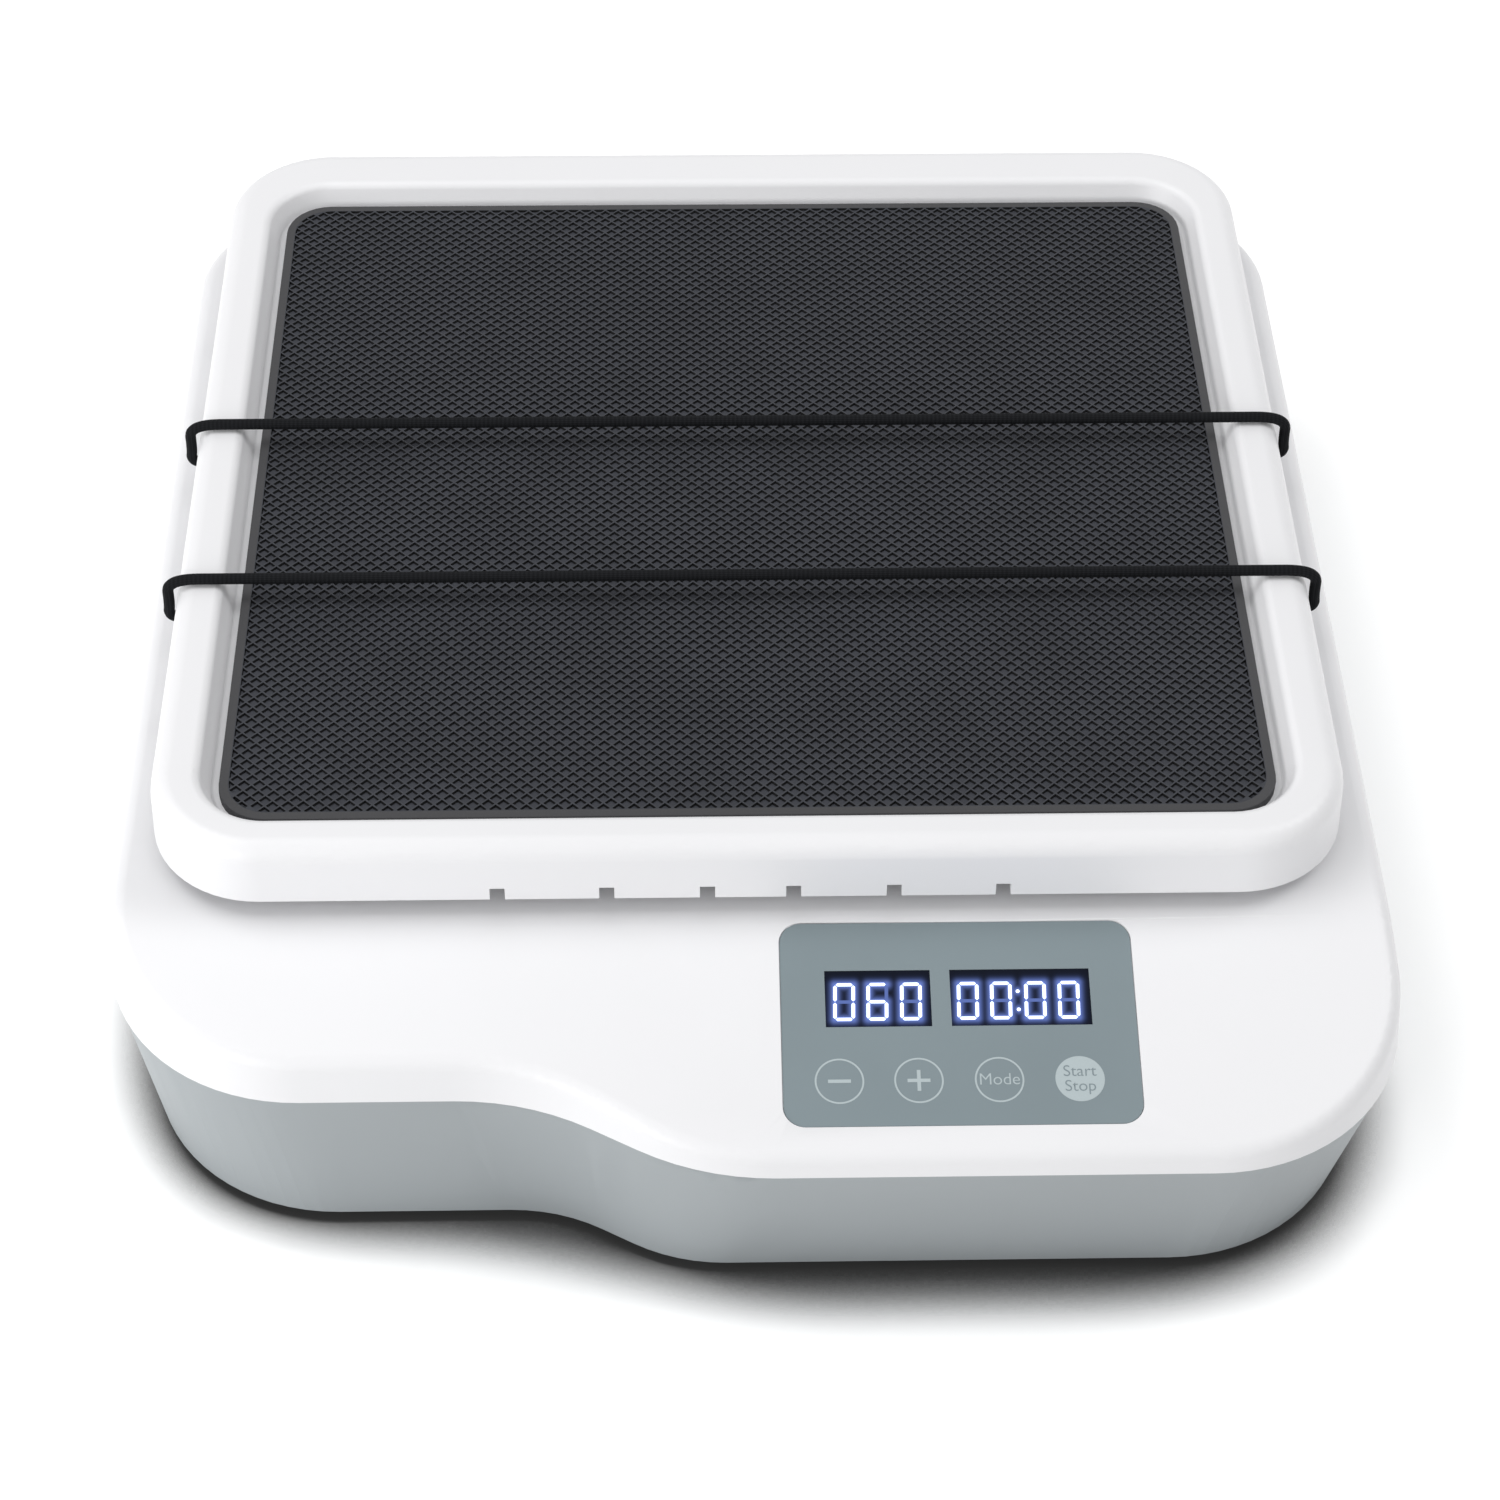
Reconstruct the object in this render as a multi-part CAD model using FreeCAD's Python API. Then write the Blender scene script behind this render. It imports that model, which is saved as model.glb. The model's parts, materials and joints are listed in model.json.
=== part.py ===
import FreeCAD, Part
import math
import os

os.makedirs("parts", exist_ok=True)

V = FreeCAD.Vector
UP = V(0, 0, 1)
ALONG_X = V(1, 0, 0)
ALONG_Y = V(0, 1, 0)

# Frame: origin on the table under the middle of the casing, +X to the right seen from the
# front, +Y to the back, +Z up. Millimetres.

# Casing
casing_width = 362.0
casing_depth = 403.0
front_step = 27.5
wave_slope_deg = 30.0
wave_middle_x = -38.0
wave_radius = 75.0
front_corner_radius = 57.0
back_corner_radius = 46.0
casing_bottom_z = 4.5
parting_z = 55.5
deck_z = 81.0
deck_slope_deg = 14.0
deck_slope_run = 73.0
slope_blend_radius = 60.0
cover_wall = 2.6
cover_draft = 2.5
cover_edge_radius = 5.0
housing_wall = 3.0
housing_floor = 3.0
parting_reveal = 0.4
rim_height = 3.0
rim_thickness = 1.5
rim_clearance = 0.2
draw_in_side = 7.5
draw_in_back = 4.0
draw_in_front_right = 8.5
draw_in_front_left = 0.0
bottom_edge_chamfer = 1.0
side_boss_inset = 20.0
back_boss_inset = 26.0
middle_boss_offset = 60.0
front_boss_inset = 18.0
front_left_boss_inset = 16.0
front_left_boss_x_inset = 68.0
casing_boss_radius = 6.5
cover_boss_radius = 5.5
head_pocket_radius = 4.2
head_pocket_depth = 14.0
vent_count = 9
vent_pitch = 7.0
vent_length = 44.0
vent_width = 3.0

# Tray
tray_width = 335.0
tray_depth = 324.0
tray_back_margin = 5.5
tray_bottom_z = 86.5
tray_height = 19.5
tray_corner_radius = 32.0
tray_wall = 3.0
tray_draft = 0.8
tray_edge_radius = 6.0
lip_side_width = 14.0
lip_front_width = 13.0
lip_back_width = 20.0
lip_inner_radius = 3.0
pan_floor = 3.0
well_depth = 8.0
well_corner_radius = 20.0
well_wall_run = 3.2
well_foot_radius = 1.0
notch_width = 4.2
notch_height = 4.2
side_notch_height = 8.0
front_notch_offsets = (11.9, 39.7, 69.9)
side_notch_offsets = (-89.0, -54.0, -19.0, 16.0, 51.0, 86.0)
tray_rib_thickness = 2.4
tray_rib_height = 6.0
tray_rib_offsets = (-112.0, 0.0, 112.0)

# Mat
mat_side_gap = 2.3
mat_front_gap = 1.3
mat_back_gap = 2.3
mat_thickness = 3.0
mat_corner_radius = 14.0
mat_edge_chamfer = 0.5

# Hold-down cords
cord_diameter = 3.3
cord_clearance = 0.3
rear_cord_notch = 16.0
front_cord_notch = -54.0
bead_radius = 3.4

# Control panel
panel_width = 97.0
panel_length = 61.2
panel_centre_x = 56.3
panel_front_margin = 9.8
panel_corner_radius = 6.0
panel_thickness = 0.9
panel_clearance = 0.25
panel_seat_depth = 1.1
panel_pocket_margin = 4.0
panel_boss_gap = 12.0
window_height = 16.8
window_centre_up = 7.4
speed_window_width = 28.7
time_window_width = 38.1
window_span = 72.5
window_clearance = 0.15
lens_thickness = 2.0
module_height = 7.0
module_inset = 0.8
board_thickness = 1.6
board_gap = 2.0
board_margin_x = 4.0
board_margin_y = 3.0
board_hole_inset_x = 9.0
board_hole_inset_y = 8.0
board_screw_length = 6.0
pillar_radius = 3.2

# Feet
foot_radius = 11.0
foot_inset_x = 42.0
foot_inset_y = 40.0
foot_front_inset = 46.0
foot_recess = 1.0
foot_boss_rim = 2.0
foot_boss_height = 6.0
foot_clearance = 0.2
foot_edge_radius = 1.2

# Chassis, guides and carriage
chassis_side_gap = 35.0
chassis_end_margin = 15.0
chassis_thickness = 3.0
chassis_stand_off = 6.0
chassis_corner_radius = 12.0
chassis_boss_radius = 6.0
chassis_screw_inset = 12.0
rod_radius = 5.0
rod_end_gap = 25.0
rod_spacing = 190.0
rod_height = 31.5
support_length = 16.0
support_width = 40.0
support_top = 10.0
support_slit = 1.5
support_foot = 7.0
support_screw_inset = 4.5
block_length = 30.0
block_width = 32.0
block_height = 26.0
block_spacing = 120.0
block_edge_radius = 3.0
block_screw_inset = 4.0
block_screw_depth = 8.0
bushing_radius = 9.5
bushing_clearance = 0.04
bushing_inset = 0.5
carriage_length = 170.0
carriage_thickness = 4.0
carriage_window = 46.0
carriage_window_width = 24.0
carriage_window_inset = 24.0
carriage_window_offset = 36.0
carriage_corner_radius = 10.0
stroke = 20.0
post_radius = 7.0
post_spacing_x = 130.0
post_rod_gap = 25.0
post_edge_chamfer = 0.6
slot_clearance = 2.5
boss_radius = 10.0

# Crank and drive
crank_radius = stroke / 2
pin_radius = 3.0
roller_radius = 5.0
roller_height = 6.0
roller_clearance = 0.05
yoke_play = 2.5
yoke_width = 52.0
yoke_length = 76.0
yoke_thickness = 8.0
yoke_screw_inset_x = 5.0
yoke_screw_inset_y = 6.0
yoke_screw_depth = 6.0
yoke_disc_gap = 2.0
crank_shaft_radius = 6.0
crank_disc_radius = 20.0
counterweight_radius = 33.0
crank_disc_thickness = 4.5
driven_pulley_radius = 33.0
drive_pulley_radius = 11.0
pulley_height = 10.0
pulley_flange = 1.5
pulley_flange_thickness = 1.2
belt_thickness = 2.0
belt_clearance = 0.15
pulley_gap = 2.0
motor_edge_gap = 58.0
motor_radius = 28.5
motor_height = 20.0
motor_wall = 2.0
motor_shaft_radius = 4.0
motor_bracket_height = 16.5
motor_bracket_width = 64.0
motor_bracket_thickness = 3.0
motor_bracket_flange = 14.0
motor_bracket_gap = 4.0
motor_boss_radius = 8.0
motor_screw_circle = 17.0
bearing_outer_radius = 14.0
bearing_width = 8.0
bearing_ring = 2.6
ball_radius = 2.4
ball_count = 7
bearing_seat_lip = 2.0
bearing_gap = 0.5
bearing_housing_radius = 22.0
bearing_flange = 64.0
bearing_flange_thickness = 5.0
bearing_screw_inset = 7.0
running_clearance = 0.05

# Drive board
drive_board_width = 52.0
drive_board_length = 80.0
drive_board_edge_gap = 28.0
drive_board_hole_inset_x = 5.0
drive_board_hole_inset_y = 6.0
board_stand_off = 6.0
capacitor_radius = 5.0
capacitor_height = 10.0
capacitor_x = -12.0
capacitor_offsets = (18.0, 4.0)
connector_size = (20.0, 12.0, 9.0)
connector_place = (6.0, -26.0)
driver_size = (14.0, 14.0, 2.0)
driver_place = (10.0, 6.0)

# Back wall fittings
socket_side_gap = 85.0
socket_z = 30.0
socket_radius = 6.0
socket_pin_radius = 1.2
socket_wall = 2.0
socket_flange_thickness = 2.0
socket_depth = 12.0
socket_pin_base = 3.0
switch_side_gap = 57.0
switch_width = 13.0
switch_height = 19.0
switch_depth = 15.0
switch_frame = 1.5
switch_rim = 1.5
switch_rim_thickness = 1.6
switch_clearance = 0.2
rocker_tilt_deg = 8.0
rocker_clearance = 0.3
rocker_end_clearance = 0.8
rocker_face = 4.6
rocker_depth = 3.0

# Screws
m3_radius = 1.5
m4_radius = 2.0
screw_clearance = 0.25
screw_head_radius = 1.75
screw_head_height = 1.6
screw_key_radius = 0.9
plate_grip = 2.0
block_grip = 5.0
cover_grip = 8.0
motor_grip = 2.5
tray_grip = 9.0
countersink_radius = 4.0
countersink_depth = 2.0
countersink_clearance = 0.2

# Levels that follow from the values above
half_width = casing_width / 2
front_y = -casing_depth / 2
back_y = casing_depth / 2
front_left_y = front_y + front_step
slope_start_y = front_y + deck_slope_run
tray_centre_y = back_y - tray_back_margin - tray_depth / 2
chassis_width = casing_width - 2 * chassis_side_gap
chassis_depth = rod_spacing + support_width + 2 * chassis_end_margin
rod_length = chassis_width - 2 * rod_end_gap
post_spacing_y = rod_spacing - 2 * post_rod_gap
motor_x = motor_edge_gap - chassis_width / 2
drive_board_x = chassis_width / 2 - drive_board_edge_gap - drive_board_width / 2
socket_x = half_width - socket_side_gap
switch_x = half_width - switch_side_gap
floor_top_z = casing_bottom_z + housing_floor
chassis_bottom_z = floor_top_z + chassis_stand_off
chassis_top_z = chassis_bottom_z + chassis_thickness
rod_z = chassis_top_z + rod_height
block_top_z = rod_z + block_height / 2
carriage_top_z = block_top_z + carriage_thickness
lip_top_z = tray_bottom_z + tray_height
pan_top_z = lip_top_z - well_depth
pan_bottom_z = pan_top_z - pan_floor
mat_top_z = pan_top_z + mat_thickness
boss_bottom_z = pan_bottom_z - tray_rib_height
well_width = tray_width - 2 * lip_side_width
well_length = tray_depth - lip_front_width - lip_back_width
well_centre_y = tray_centre_y + (lip_front_width - lip_back_width) / 2
well_floor_width = well_width - 2 * well_wall_run
well_floor_length = well_length - 2 * well_wall_run
slope = math.radians(deck_slope_deg)


def rounded_points(corners):
    """Closed wire through corners given as (point, radius), in any plane."""
    edges = []
    count = len(corners)
    ends = []
    for i in range(count):
        before = corners[i - 1][0]
        point, radius = corners[i]
        after = corners[(i + 1) % count][0]
        back = (before - point).normalize()
        on = (after - point).normalize()
        if radius <= 0:
            ends.append((point, None, point))
            continue
        half_turn = back.getAngle(on) / 2
        run = radius / math.tan(half_turn)
        middle = (back + on).normalize()
        centre = point + middle * (radius / math.sin(half_turn))
        ends.append((point + back * run, centre - middle * radius, point + on * run))
    for i in range(count):
        start, mid, end = ends[i]
        if mid is not None:
            edges.append(Part.Arc(start, mid, end).toShape())
        following = ends[(i + 1) % count][0]
        if (following - end).Length > 1e-6:
            edges.append(Part.LineSegment(end, following).toShape())
    return Part.Wire(edges)


def rounded_rectangle(width, length, radius, z, x=0.0, y=0.0):
    w = width / 2
    d = length / 2
    places = ((-w, -d), (w, -d), (w, d), (-w, d))
    return rounded_points([(V(x + a, y + b, z), radius) for a, b in places])


def plate(wire, height):
    return Part.Face(wire).extrude(V(0, 0, height))


def cylinder(radius, height, x, y, z, axis=UP):
    return Part.makeCylinder(radius, height, V(x, y, z), axis)


def tube(outer, inner, height, x, y, z, axis=UP):
    return cylinder(outer, height, x, y, z, axis).cut(cylinder(inner, height, x, y, z, axis))


def box(width, depth, height, x, y, z):
    """Box centred on x and y, standing on z."""
    return Part.makeBox(width, depth, height, V(x - width / 2, y - depth / 2, z))


def obround(length, width, height, x, y, z, along=ALONG_X):
    half = (length - width) / 2
    ends = [V(x, y, z) + along * s for s in (-half, half)]
    body = cylinder(width / 2, height, ends[0].x, ends[0].y, z)
    body = body.fuse(cylinder(width / 2, height, ends[1].x, ends[1].y, z))
    across = box(length - width, width, height, x, y, z)
    if along.y:
        across = box(width, length - width, height, x, y, z)
    return body.fuse(across).removeSplitter()


def joined(first, *others):
    return first.fuse(list(others)).removeSplitter()


def group(shapes):
    return Part.makeCompound(list(shapes))


def save(name, shape):
    shape.exportStep("parts/" + name + ".step")


def screw(radius, length, x, y, z, down=True):
    """Cap screw: the underside of its head is at z, its shank runs down or up from there."""
    head_height = radius * screw_head_height
    shank = cylinder(radius, length, x, y, z - length if down else z)
    head = cylinder(radius * screw_head_radius, head_height, x, y, z if down else z - head_height)
    key_low = z + head_height / 2 if down else z - head_height
    key = radius * screw_key_radius
    corners = [k * math.pi / 3 for k in range(7)]
    hexagon = Part.makePolygon([V(x + key * math.cos(a), y + key * math.sin(a), key_low) for a in corners])
    socket = Part.Face(hexagon).extrude(V(0, 0, head_height / 2))
    return head.fuse(shank).cut(socket).removeSplitter()


# Casing outline, drawn in by the same function at every level


def casing_outline(z, side=0.0, back=0.0, right=0.0, left=0.0):
    """Outline of the casing at z, drawn in by the given amounts on each side."""
    front_right = front_y + right
    front_left = front_left_y + left
    step = front_left - front_right
    wave_half = step / 2 / math.tan(math.radians(wave_slope_deg))
    radius_front = front_corner_radius - min(side, right, left)
    radius_back = back_corner_radius - (side + back) / 2
    radius_wave_out = wave_radius * step / front_step
    w = half_width - side
    return rounded_points([
        (V(-w, back_y - back, z), radius_back),
        (V(-w, front_left, z), radius_front),
        (V(wave_middle_x - wave_half, front_left, z), radius_wave_out),
        (V(wave_middle_x + wave_half, front_right, z), radius_wave_out),
        (V(w, front_right, z), radius_front),
        (V(w, back_y - back, z), radius_back),
    ])


def housing_section(z, inset):
    """Casing outline at z between the parting line and the bottom, drawn in by a straight taper."""
    share = (parting_z - z) / (parting_z - casing_bottom_z)
    amounts = (draw_in_side, draw_in_back, draw_in_front_right, draw_in_front_left)
    return casing_outline(z, *[share * a + parting_reveal + inset for a in amounts])


def housing_body(inset, bottom_z, chamfer=0.0):
    """Casing wall between the bottom and the parting line, with its bottom edge taken off."""
    top = housing_section(parting_z, inset)
    bottom = housing_section(bottom_z + chamfer, inset)
    body = Part.makeLoft([bottom, top], True, True)
    if chamfer > 0:
        foot_ring = housing_section(bottom_z, inset + chamfer)
        body = body.fuse(Part.makeLoft([foot_ring, bottom], True, True))
    return body


def deck_prism(lowering):
    """Everything under the deck surface, flat at the back and sloping down at the front."""
    far = casing_depth
    level = deck_z - lowering
    shift = lowering * math.tan(slope / 2)
    fall = (slope_start_y + far) * math.tan(slope)
    section = rounded_points([
        (V(-casing_width, far, level), 0),
        (V(-casing_width, slope_start_y + shift, level), slope_blend_radius),
        (V(-casing_width, -far, level - fall - shift * math.tan(slope)), 0),
        (V(-casing_width, -far, -deck_z), 0),
        (V(-casing_width, far, -deck_z), 0),
    ])
    return Part.Face(section).extrude(V(2 * casing_width, 0, 0))


def cover_block(inset, lowering, base_z):
    rise = deck_z + 4 - base_z
    lean = cover_draft * rise / (deck_z - parting_z)
    bottom = casing_outline(base_z, *[inset] * 4)
    top = casing_outline(base_z + rise, *[inset + lean] * 4)
    return Part.makeLoft([bottom, top], True, True).common(deck_prism(lowering))


def deck_edges(block):
    """Edges where the deck meets the band round the casing."""
    found = []
    blend = slope_blend_radius * math.tan(slope / 2) + 1
    for edge in block.Edges:
        if edge.BoundBox.ZMin < parting_z + 1:
            continue
        ends = [v.Point.y for v in edge.Vertexes]
        level = max(ends) - min(ends) < 1e-3
        if not level or abs(ends[0] - slope_start_y) > blend:
            found.append(edge)
    return found


# Points where the lower casing, the cover, the feet and the chassis are fastened
casing_bosses = (
    (-half_width + side_boss_inset, back_y - back_boss_inset),
    (half_width - side_boss_inset, back_y - back_boss_inset),
    (-half_width + side_boss_inset, tray_centre_y - middle_boss_offset),
    (half_width - side_boss_inset, tray_centre_y - middle_boss_offset),
    (-half_width + front_left_boss_x_inset, front_left_y + front_left_boss_inset),
    (panel_centre_x + panel_width / 2 + panel_boss_gap, front_y + front_boss_inset),
)
foot_places = {
    "foot_rear_left": (-half_width + foot_inset_x, back_y - foot_inset_y),
    "foot_rear_right": (half_width - foot_inset_x, back_y - foot_inset_y),
    "foot_front_left": (-half_width + foot_inset_x, front_left_y + foot_front_inset),
    "foot_front_right": (half_width - foot_inset_x, front_y + foot_front_inset),
}
chassis_screw_places = [
    (x, tray_centre_y + y)
    for x in (chassis_screw_inset - chassis_width / 2, chassis_width / 2 - chassis_screw_inset)
    for y in (chassis_screw_inset - chassis_depth / 2, 0, chassis_depth / 2 - chassis_screw_inset)
]
post_places = [
    (x * post_spacing_x / 2, tray_centre_y + y * post_spacing_y / 2)
    for x in (-1, 1)
    for y in (-1, 1)
]
boss_screw_head_z = parting_z - head_pocket_depth


def lower_housing():
    outer = housing_body(0, casing_bottom_z, bottom_edge_chamfer)
    inner = housing_body(housing_wall, floor_top_z)
    body = outer.cut(inner)
    rim_inset = cover_wall + rim_clearance + cover_draft * (rim_height + 1) / (deck_z - parting_z)
    rim_low = parting_z - 2 * rim_height
    rim_outer = casing_outline(rim_low, *[rim_inset] * 4)
    rim_inner = casing_outline(rim_low, *[rim_inset + rim_thickness] * 4)
    rim_face = Part.Face(rim_outer).cut(Part.Face(rim_inner))
    body = body.fuse(rim_face.extrude(V(0, 0, 3 * rim_height)))
    for x, y in casing_bosses:
        body = body.fuse(cylinder(casing_boss_radius, parting_z - floor_top_z + 0.5, x, y, floor_top_z - 0.5))
    for x, y in casing_bosses:
        pocket = boss_screw_head_z - casing_bottom_z
        body = body.cut(cylinder(head_pocket_radius, pocket, x, y, casing_bottom_z))
        body = body.cut(cylinder(m4_radius + screw_clearance, parting_z, x, y, casing_bottom_z))
    for x, y in foot_places.values():
        body = body.fuse(cylinder(foot_radius + foot_boss_rim, foot_boss_height, x, y, casing_bottom_z))
    for x, y in foot_places.values():
        body = body.cut(cylinder(foot_radius + foot_clearance, foot_recess, x, y, casing_bottom_z))
        body = body.cut(cylinder(m4_radius, 10, x, y, casing_bottom_z))
    for x, y in chassis_screw_places:
        body = body.fuse(cylinder(chassis_boss_radius, chassis_stand_off + 0.5, x, y, floor_top_z - 0.5))
        body = body.cut(cylinder(m4_radius, chassis_stand_off - 1, x, y, floor_top_z + 1))
    for i in range(vent_count):
        x = motor_x + (i - (vent_count - 1) / 2) * vent_pitch
        body = body.cut(obround(vent_length, vent_width, 10, x, tray_centre_y, casing_bottom_z - 1, ALONG_Y))
    body = body.cut(cylinder(socket_radius, 20, socket_x, back_y - 15, socket_z, ALONG_Y))
    hole = box(switch_width, 30, switch_height, switch_x, back_y - 5, socket_z - switch_height / 2)
    return body.cut(hole).removeSplitter()


def slope_place(shape, up_offset=0.0):
    """Moves a shape drawn about the panel's centre, lying flat, onto the sloping deck."""
    centre_y = front_y + panel_front_margin + panel_length / 2 * math.cos(slope)
    centre_z = deck_z - (slope_start_y - centre_y) * math.tan(slope)
    turned = shape.copy()
    turned.rotate(V(0, 0, 0), ALONG_X, deck_slope_deg)
    turned.translate(V(panel_centre_x, centre_y, centre_z))
    return turned


window_places = (
    (-window_span / 2 + speed_window_width / 2, speed_window_width),
    (window_span / 2 - time_window_width / 2, time_window_width),
)


def window_solid(index, height, z, grow=0.0):
    x, width = window_places[index]
    return box(width + 2 * grow, window_height + 2 * grow, height, x, window_centre_up, z)


def top_cover():
    outer = cover_block(0, 0, parting_z)
    outer = outer.makeFillet(cover_edge_radius, deck_edges(outer))
    inner = cover_block(cover_wall, cover_wall, parting_z - 1)
    body = outer.cut(inner)
    under = cover_block(1, 1, parting_z)
    for x, y in casing_bosses:
        column = tube(cover_boss_radius, m4_radius, deck_z, x, y, parting_z)
        body = body.fuse(column.common(under))
    for x, y in post_places:
        body = body.cut(obround(
            stroke + 2 * (post_radius + slot_clearance),
            2 * (post_radius + slot_clearance),
            10, x, y, deck_z - 8))
    pocket_back = plate(rounded_rectangle(
        panel_width + 2 * panel_pocket_margin, panel_length + 2 * panel_pocket_margin,
        panel_corner_radius, -panel_seat_depth - cover_wall), panel_seat_depth + cover_wall - 1)
    body = body.fuse(slope_place(pocket_back).common(under))
    seat = plate(rounded_rectangle(
        panel_width + 2 * panel_clearance, panel_length + 2 * panel_clearance,
        panel_corner_radius + panel_clearance, -panel_seat_depth), 10)
    body = body.cut(slope_place(seat))
    for i in (0, 1):
        body = body.cut(slope_place(window_solid(i, 20, -15, window_clearance)))
    return body.removeSplitter()


def control_panel():
    sheet = plate(rounded_rectangle(
        panel_width, panel_length, panel_corner_radius, -panel_seat_depth), panel_thickness)
    for i in (0, 1):
        sheet = sheet.cut(window_solid(i, 10, -5, window_clearance))
    return slope_place(sheet)


def display_window(index):
    lens_top = -panel_seat_depth + panel_thickness
    lens = window_solid(index, lens_thickness, lens_top - lens_thickness)
    return slope_place(lens)


board_top = -panel_seat_depth - cover_wall - board_gap - module_height + lens_thickness


def display_modules():
    top = -panel_seat_depth + panel_thickness - lens_thickness
    bodies = []
    for i in (0, 1):
        bodies.append(slope_place(window_solid(i, top - board_top, board_top, -module_inset)))
    return group(bodies)


def control_board():
    board = plate(rounded_rectangle(
        panel_width - 2 * board_margin_x, panel_length - 2 * board_margin_y,
        board_margin_y, board_top - board_thickness), board_thickness)
    for x, y in board_hole_places():
        board = board.cut(cylinder(m3_radius + screw_clearance, 5, x, y, board_top - 3))
    return slope_place(board)


def board_hole_places():
    x = panel_width / 2 - board_hole_inset_x
    y = panel_length / 2 - board_hole_inset_y
    return [(sx * x, sy * y) for sx in (-1, 1) for sy in (-1, 1)]


def control_board_pillars():
    height = -panel_seat_depth - cover_wall - board_top
    pillars = [tube(pillar_radius, m3_radius, height, x, y, board_top) for x, y in board_hole_places()]
    return [slope_place(pillar) for pillar in pillars]


def control_board_screws():
    low = board_top - board_thickness
    places = board_hole_places()
    return [slope_place(screw(m3_radius, board_screw_length, x, y, low, down=False)) for x, y in places]


# Tray and what lies on it


def tray_outline(z, inset, radius_cut=0.0):
    return rounded_rectangle(
        tray_width - 2 * inset, tray_depth - 2 * inset,
        tray_corner_radius - radius_cut, z, 0, tray_centre_y)


def notch_places():
    """Centre of each notch with the way its wall faces."""
    places = []
    for offset in front_notch_offsets:
        for sign in (-1, 1):
            for side in (-1, 1):
                places.append((V(sign * offset, tray_centre_y + side * tray_depth / 2, 0), ALONG_Y))
    for offset in side_notch_offsets:
        for side in (-1, 1):
            places.append((V(side * tray_width / 2, tray_centre_y + offset, 0), ALONG_X))
    return places


def well_section(z, grow):
    """Outline of the well at z: its wall leans in towards the floor."""
    lean = well_wall_run * (lip_top_z - z) / well_depth - grow
    return rounded_rectangle(
        well_width - 2 * lean, well_length - 2 * lean, well_corner_radius - lean, z, 0, well_centre_y)


def tray():
    top_z = lip_top_z
    body = Part.makeLoft([tray_outline(tray_bottom_z, 0), tray_outline(top_z, tray_draft)], True, True)
    rim = [e for e in body.Edges if e.BoundBox.ZMin > top_z - 0.01]
    body = body.makeFillet(tray_edge_radius, rim)
    hollow = Part.makeLoft([
        tray_outline(tray_bottom_z, tray_wall, tray_wall),
        tray_outline(top_z - tray_wall, tray_wall + tray_draft, tray_wall),
    ], True, True)
    body = body.cut(hollow)
    pan_top = top_z - tray_wall + 1
    pan = Part.makeLoft([well_section(pan_bottom_z, tray_wall), well_section(pan_top, tray_wall)], True, True)
    ribs = []
    for offset in tray_rib_offsets:
        ribs.append(box(tray_width - 2 * tray_wall, tray_rib_thickness, tray_rib_height + 1,
                        0, tray_centre_y + offset, boss_bottom_z))
        ribs.append(box(tray_rib_thickness, tray_depth - 2 * tray_wall, tray_rib_height + 1,
                        offset, tray_centre_y, boss_bottom_z))
    bosses = [cylinder(boss_radius, tray_rib_height + 1, x, y, boss_bottom_z) for x, y in post_places]
    body = body.fuse([pan] + ribs + bosses)
    well = Part.makeLoft([well_section(pan_top_z, 0), well_section(top_z + 1, 0)], True, True)
    foot_edges = [e for e in well.Edges if e.BoundBox.ZMax < pan_top_z + 0.01]
    body = body.cut(well.makeFillet(well_foot_radius, foot_edges))
    for x, y in post_places:
        body = body.cut(cylinder(m4_radius + screw_clearance, 30, x, y, boss_bottom_z - 1))
        deep = countersink_depth + countersink_clearance
        wide = countersink_radius + 2 * countersink_clearance
        body = body.cut(Part.makeCone(m4_radius + screw_clearance, wide, deep, V(x, y, pan_top_z - deep)))
    for place, facing in notch_places():
        deep = 4 * tray_wall
        size = (deep, notch_width) if facing.x else (notch_width, deep)
        high = side_notch_height if facing.x else notch_height
        body = body.cut(box(size[0], size[1], high + 1, place.x, place.y, tray_bottom_z - 1))
    body = body.removeSplitter()
    inside = well.BoundBox
    inner_rim = [e for e in body.Edges if e.BoundBox.ZMin > top_z - 0.01 and inside.isInside(e.BoundBox)]
    return body.makeFillet(lip_inner_radius, inner_rim)


def rubber_mat():
    mat = plate(rounded_rectangle(
        well_floor_width - 2 * mat_side_gap, well_floor_length - mat_front_gap - mat_back_gap,
        mat_corner_radius, pan_top_z, 0, well_centre_y + (mat_front_gap - mat_back_gap) / 2), mat_thickness)
    top = [e for e in mat.Edges if e.BoundBox.ZMin > mat_top_z - 0.01]
    return mat.makeChamfer(mat_edge_chamfer, top)


def cord_route(y):
    """Corner points of a cord over both side lips and in through its two notches."""
    lip_x = tray_width / 2 + cord_clearance + cord_diameter / 2
    low_z = tray_bottom_z + side_notch_height - cord_clearance - cord_diameter / 2
    high_z = lip_top_z + cord_clearance + cord_diameter / 2
    start_x = bead_x() + math.sqrt(bead_radius ** 2 - (cord_diameter / 2) ** 2)
    half = [V(-start_x, y, low_z), V(-lip_x, y, low_z), V(-lip_x, y, high_z)]
    mirrored = [V(-p.x, p.y, p.z) for p in reversed(half)]
    return half + mirrored


def bead_x():
    return tray_width / 2 - tray_wall - cord_clearance - bead_radius


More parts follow.
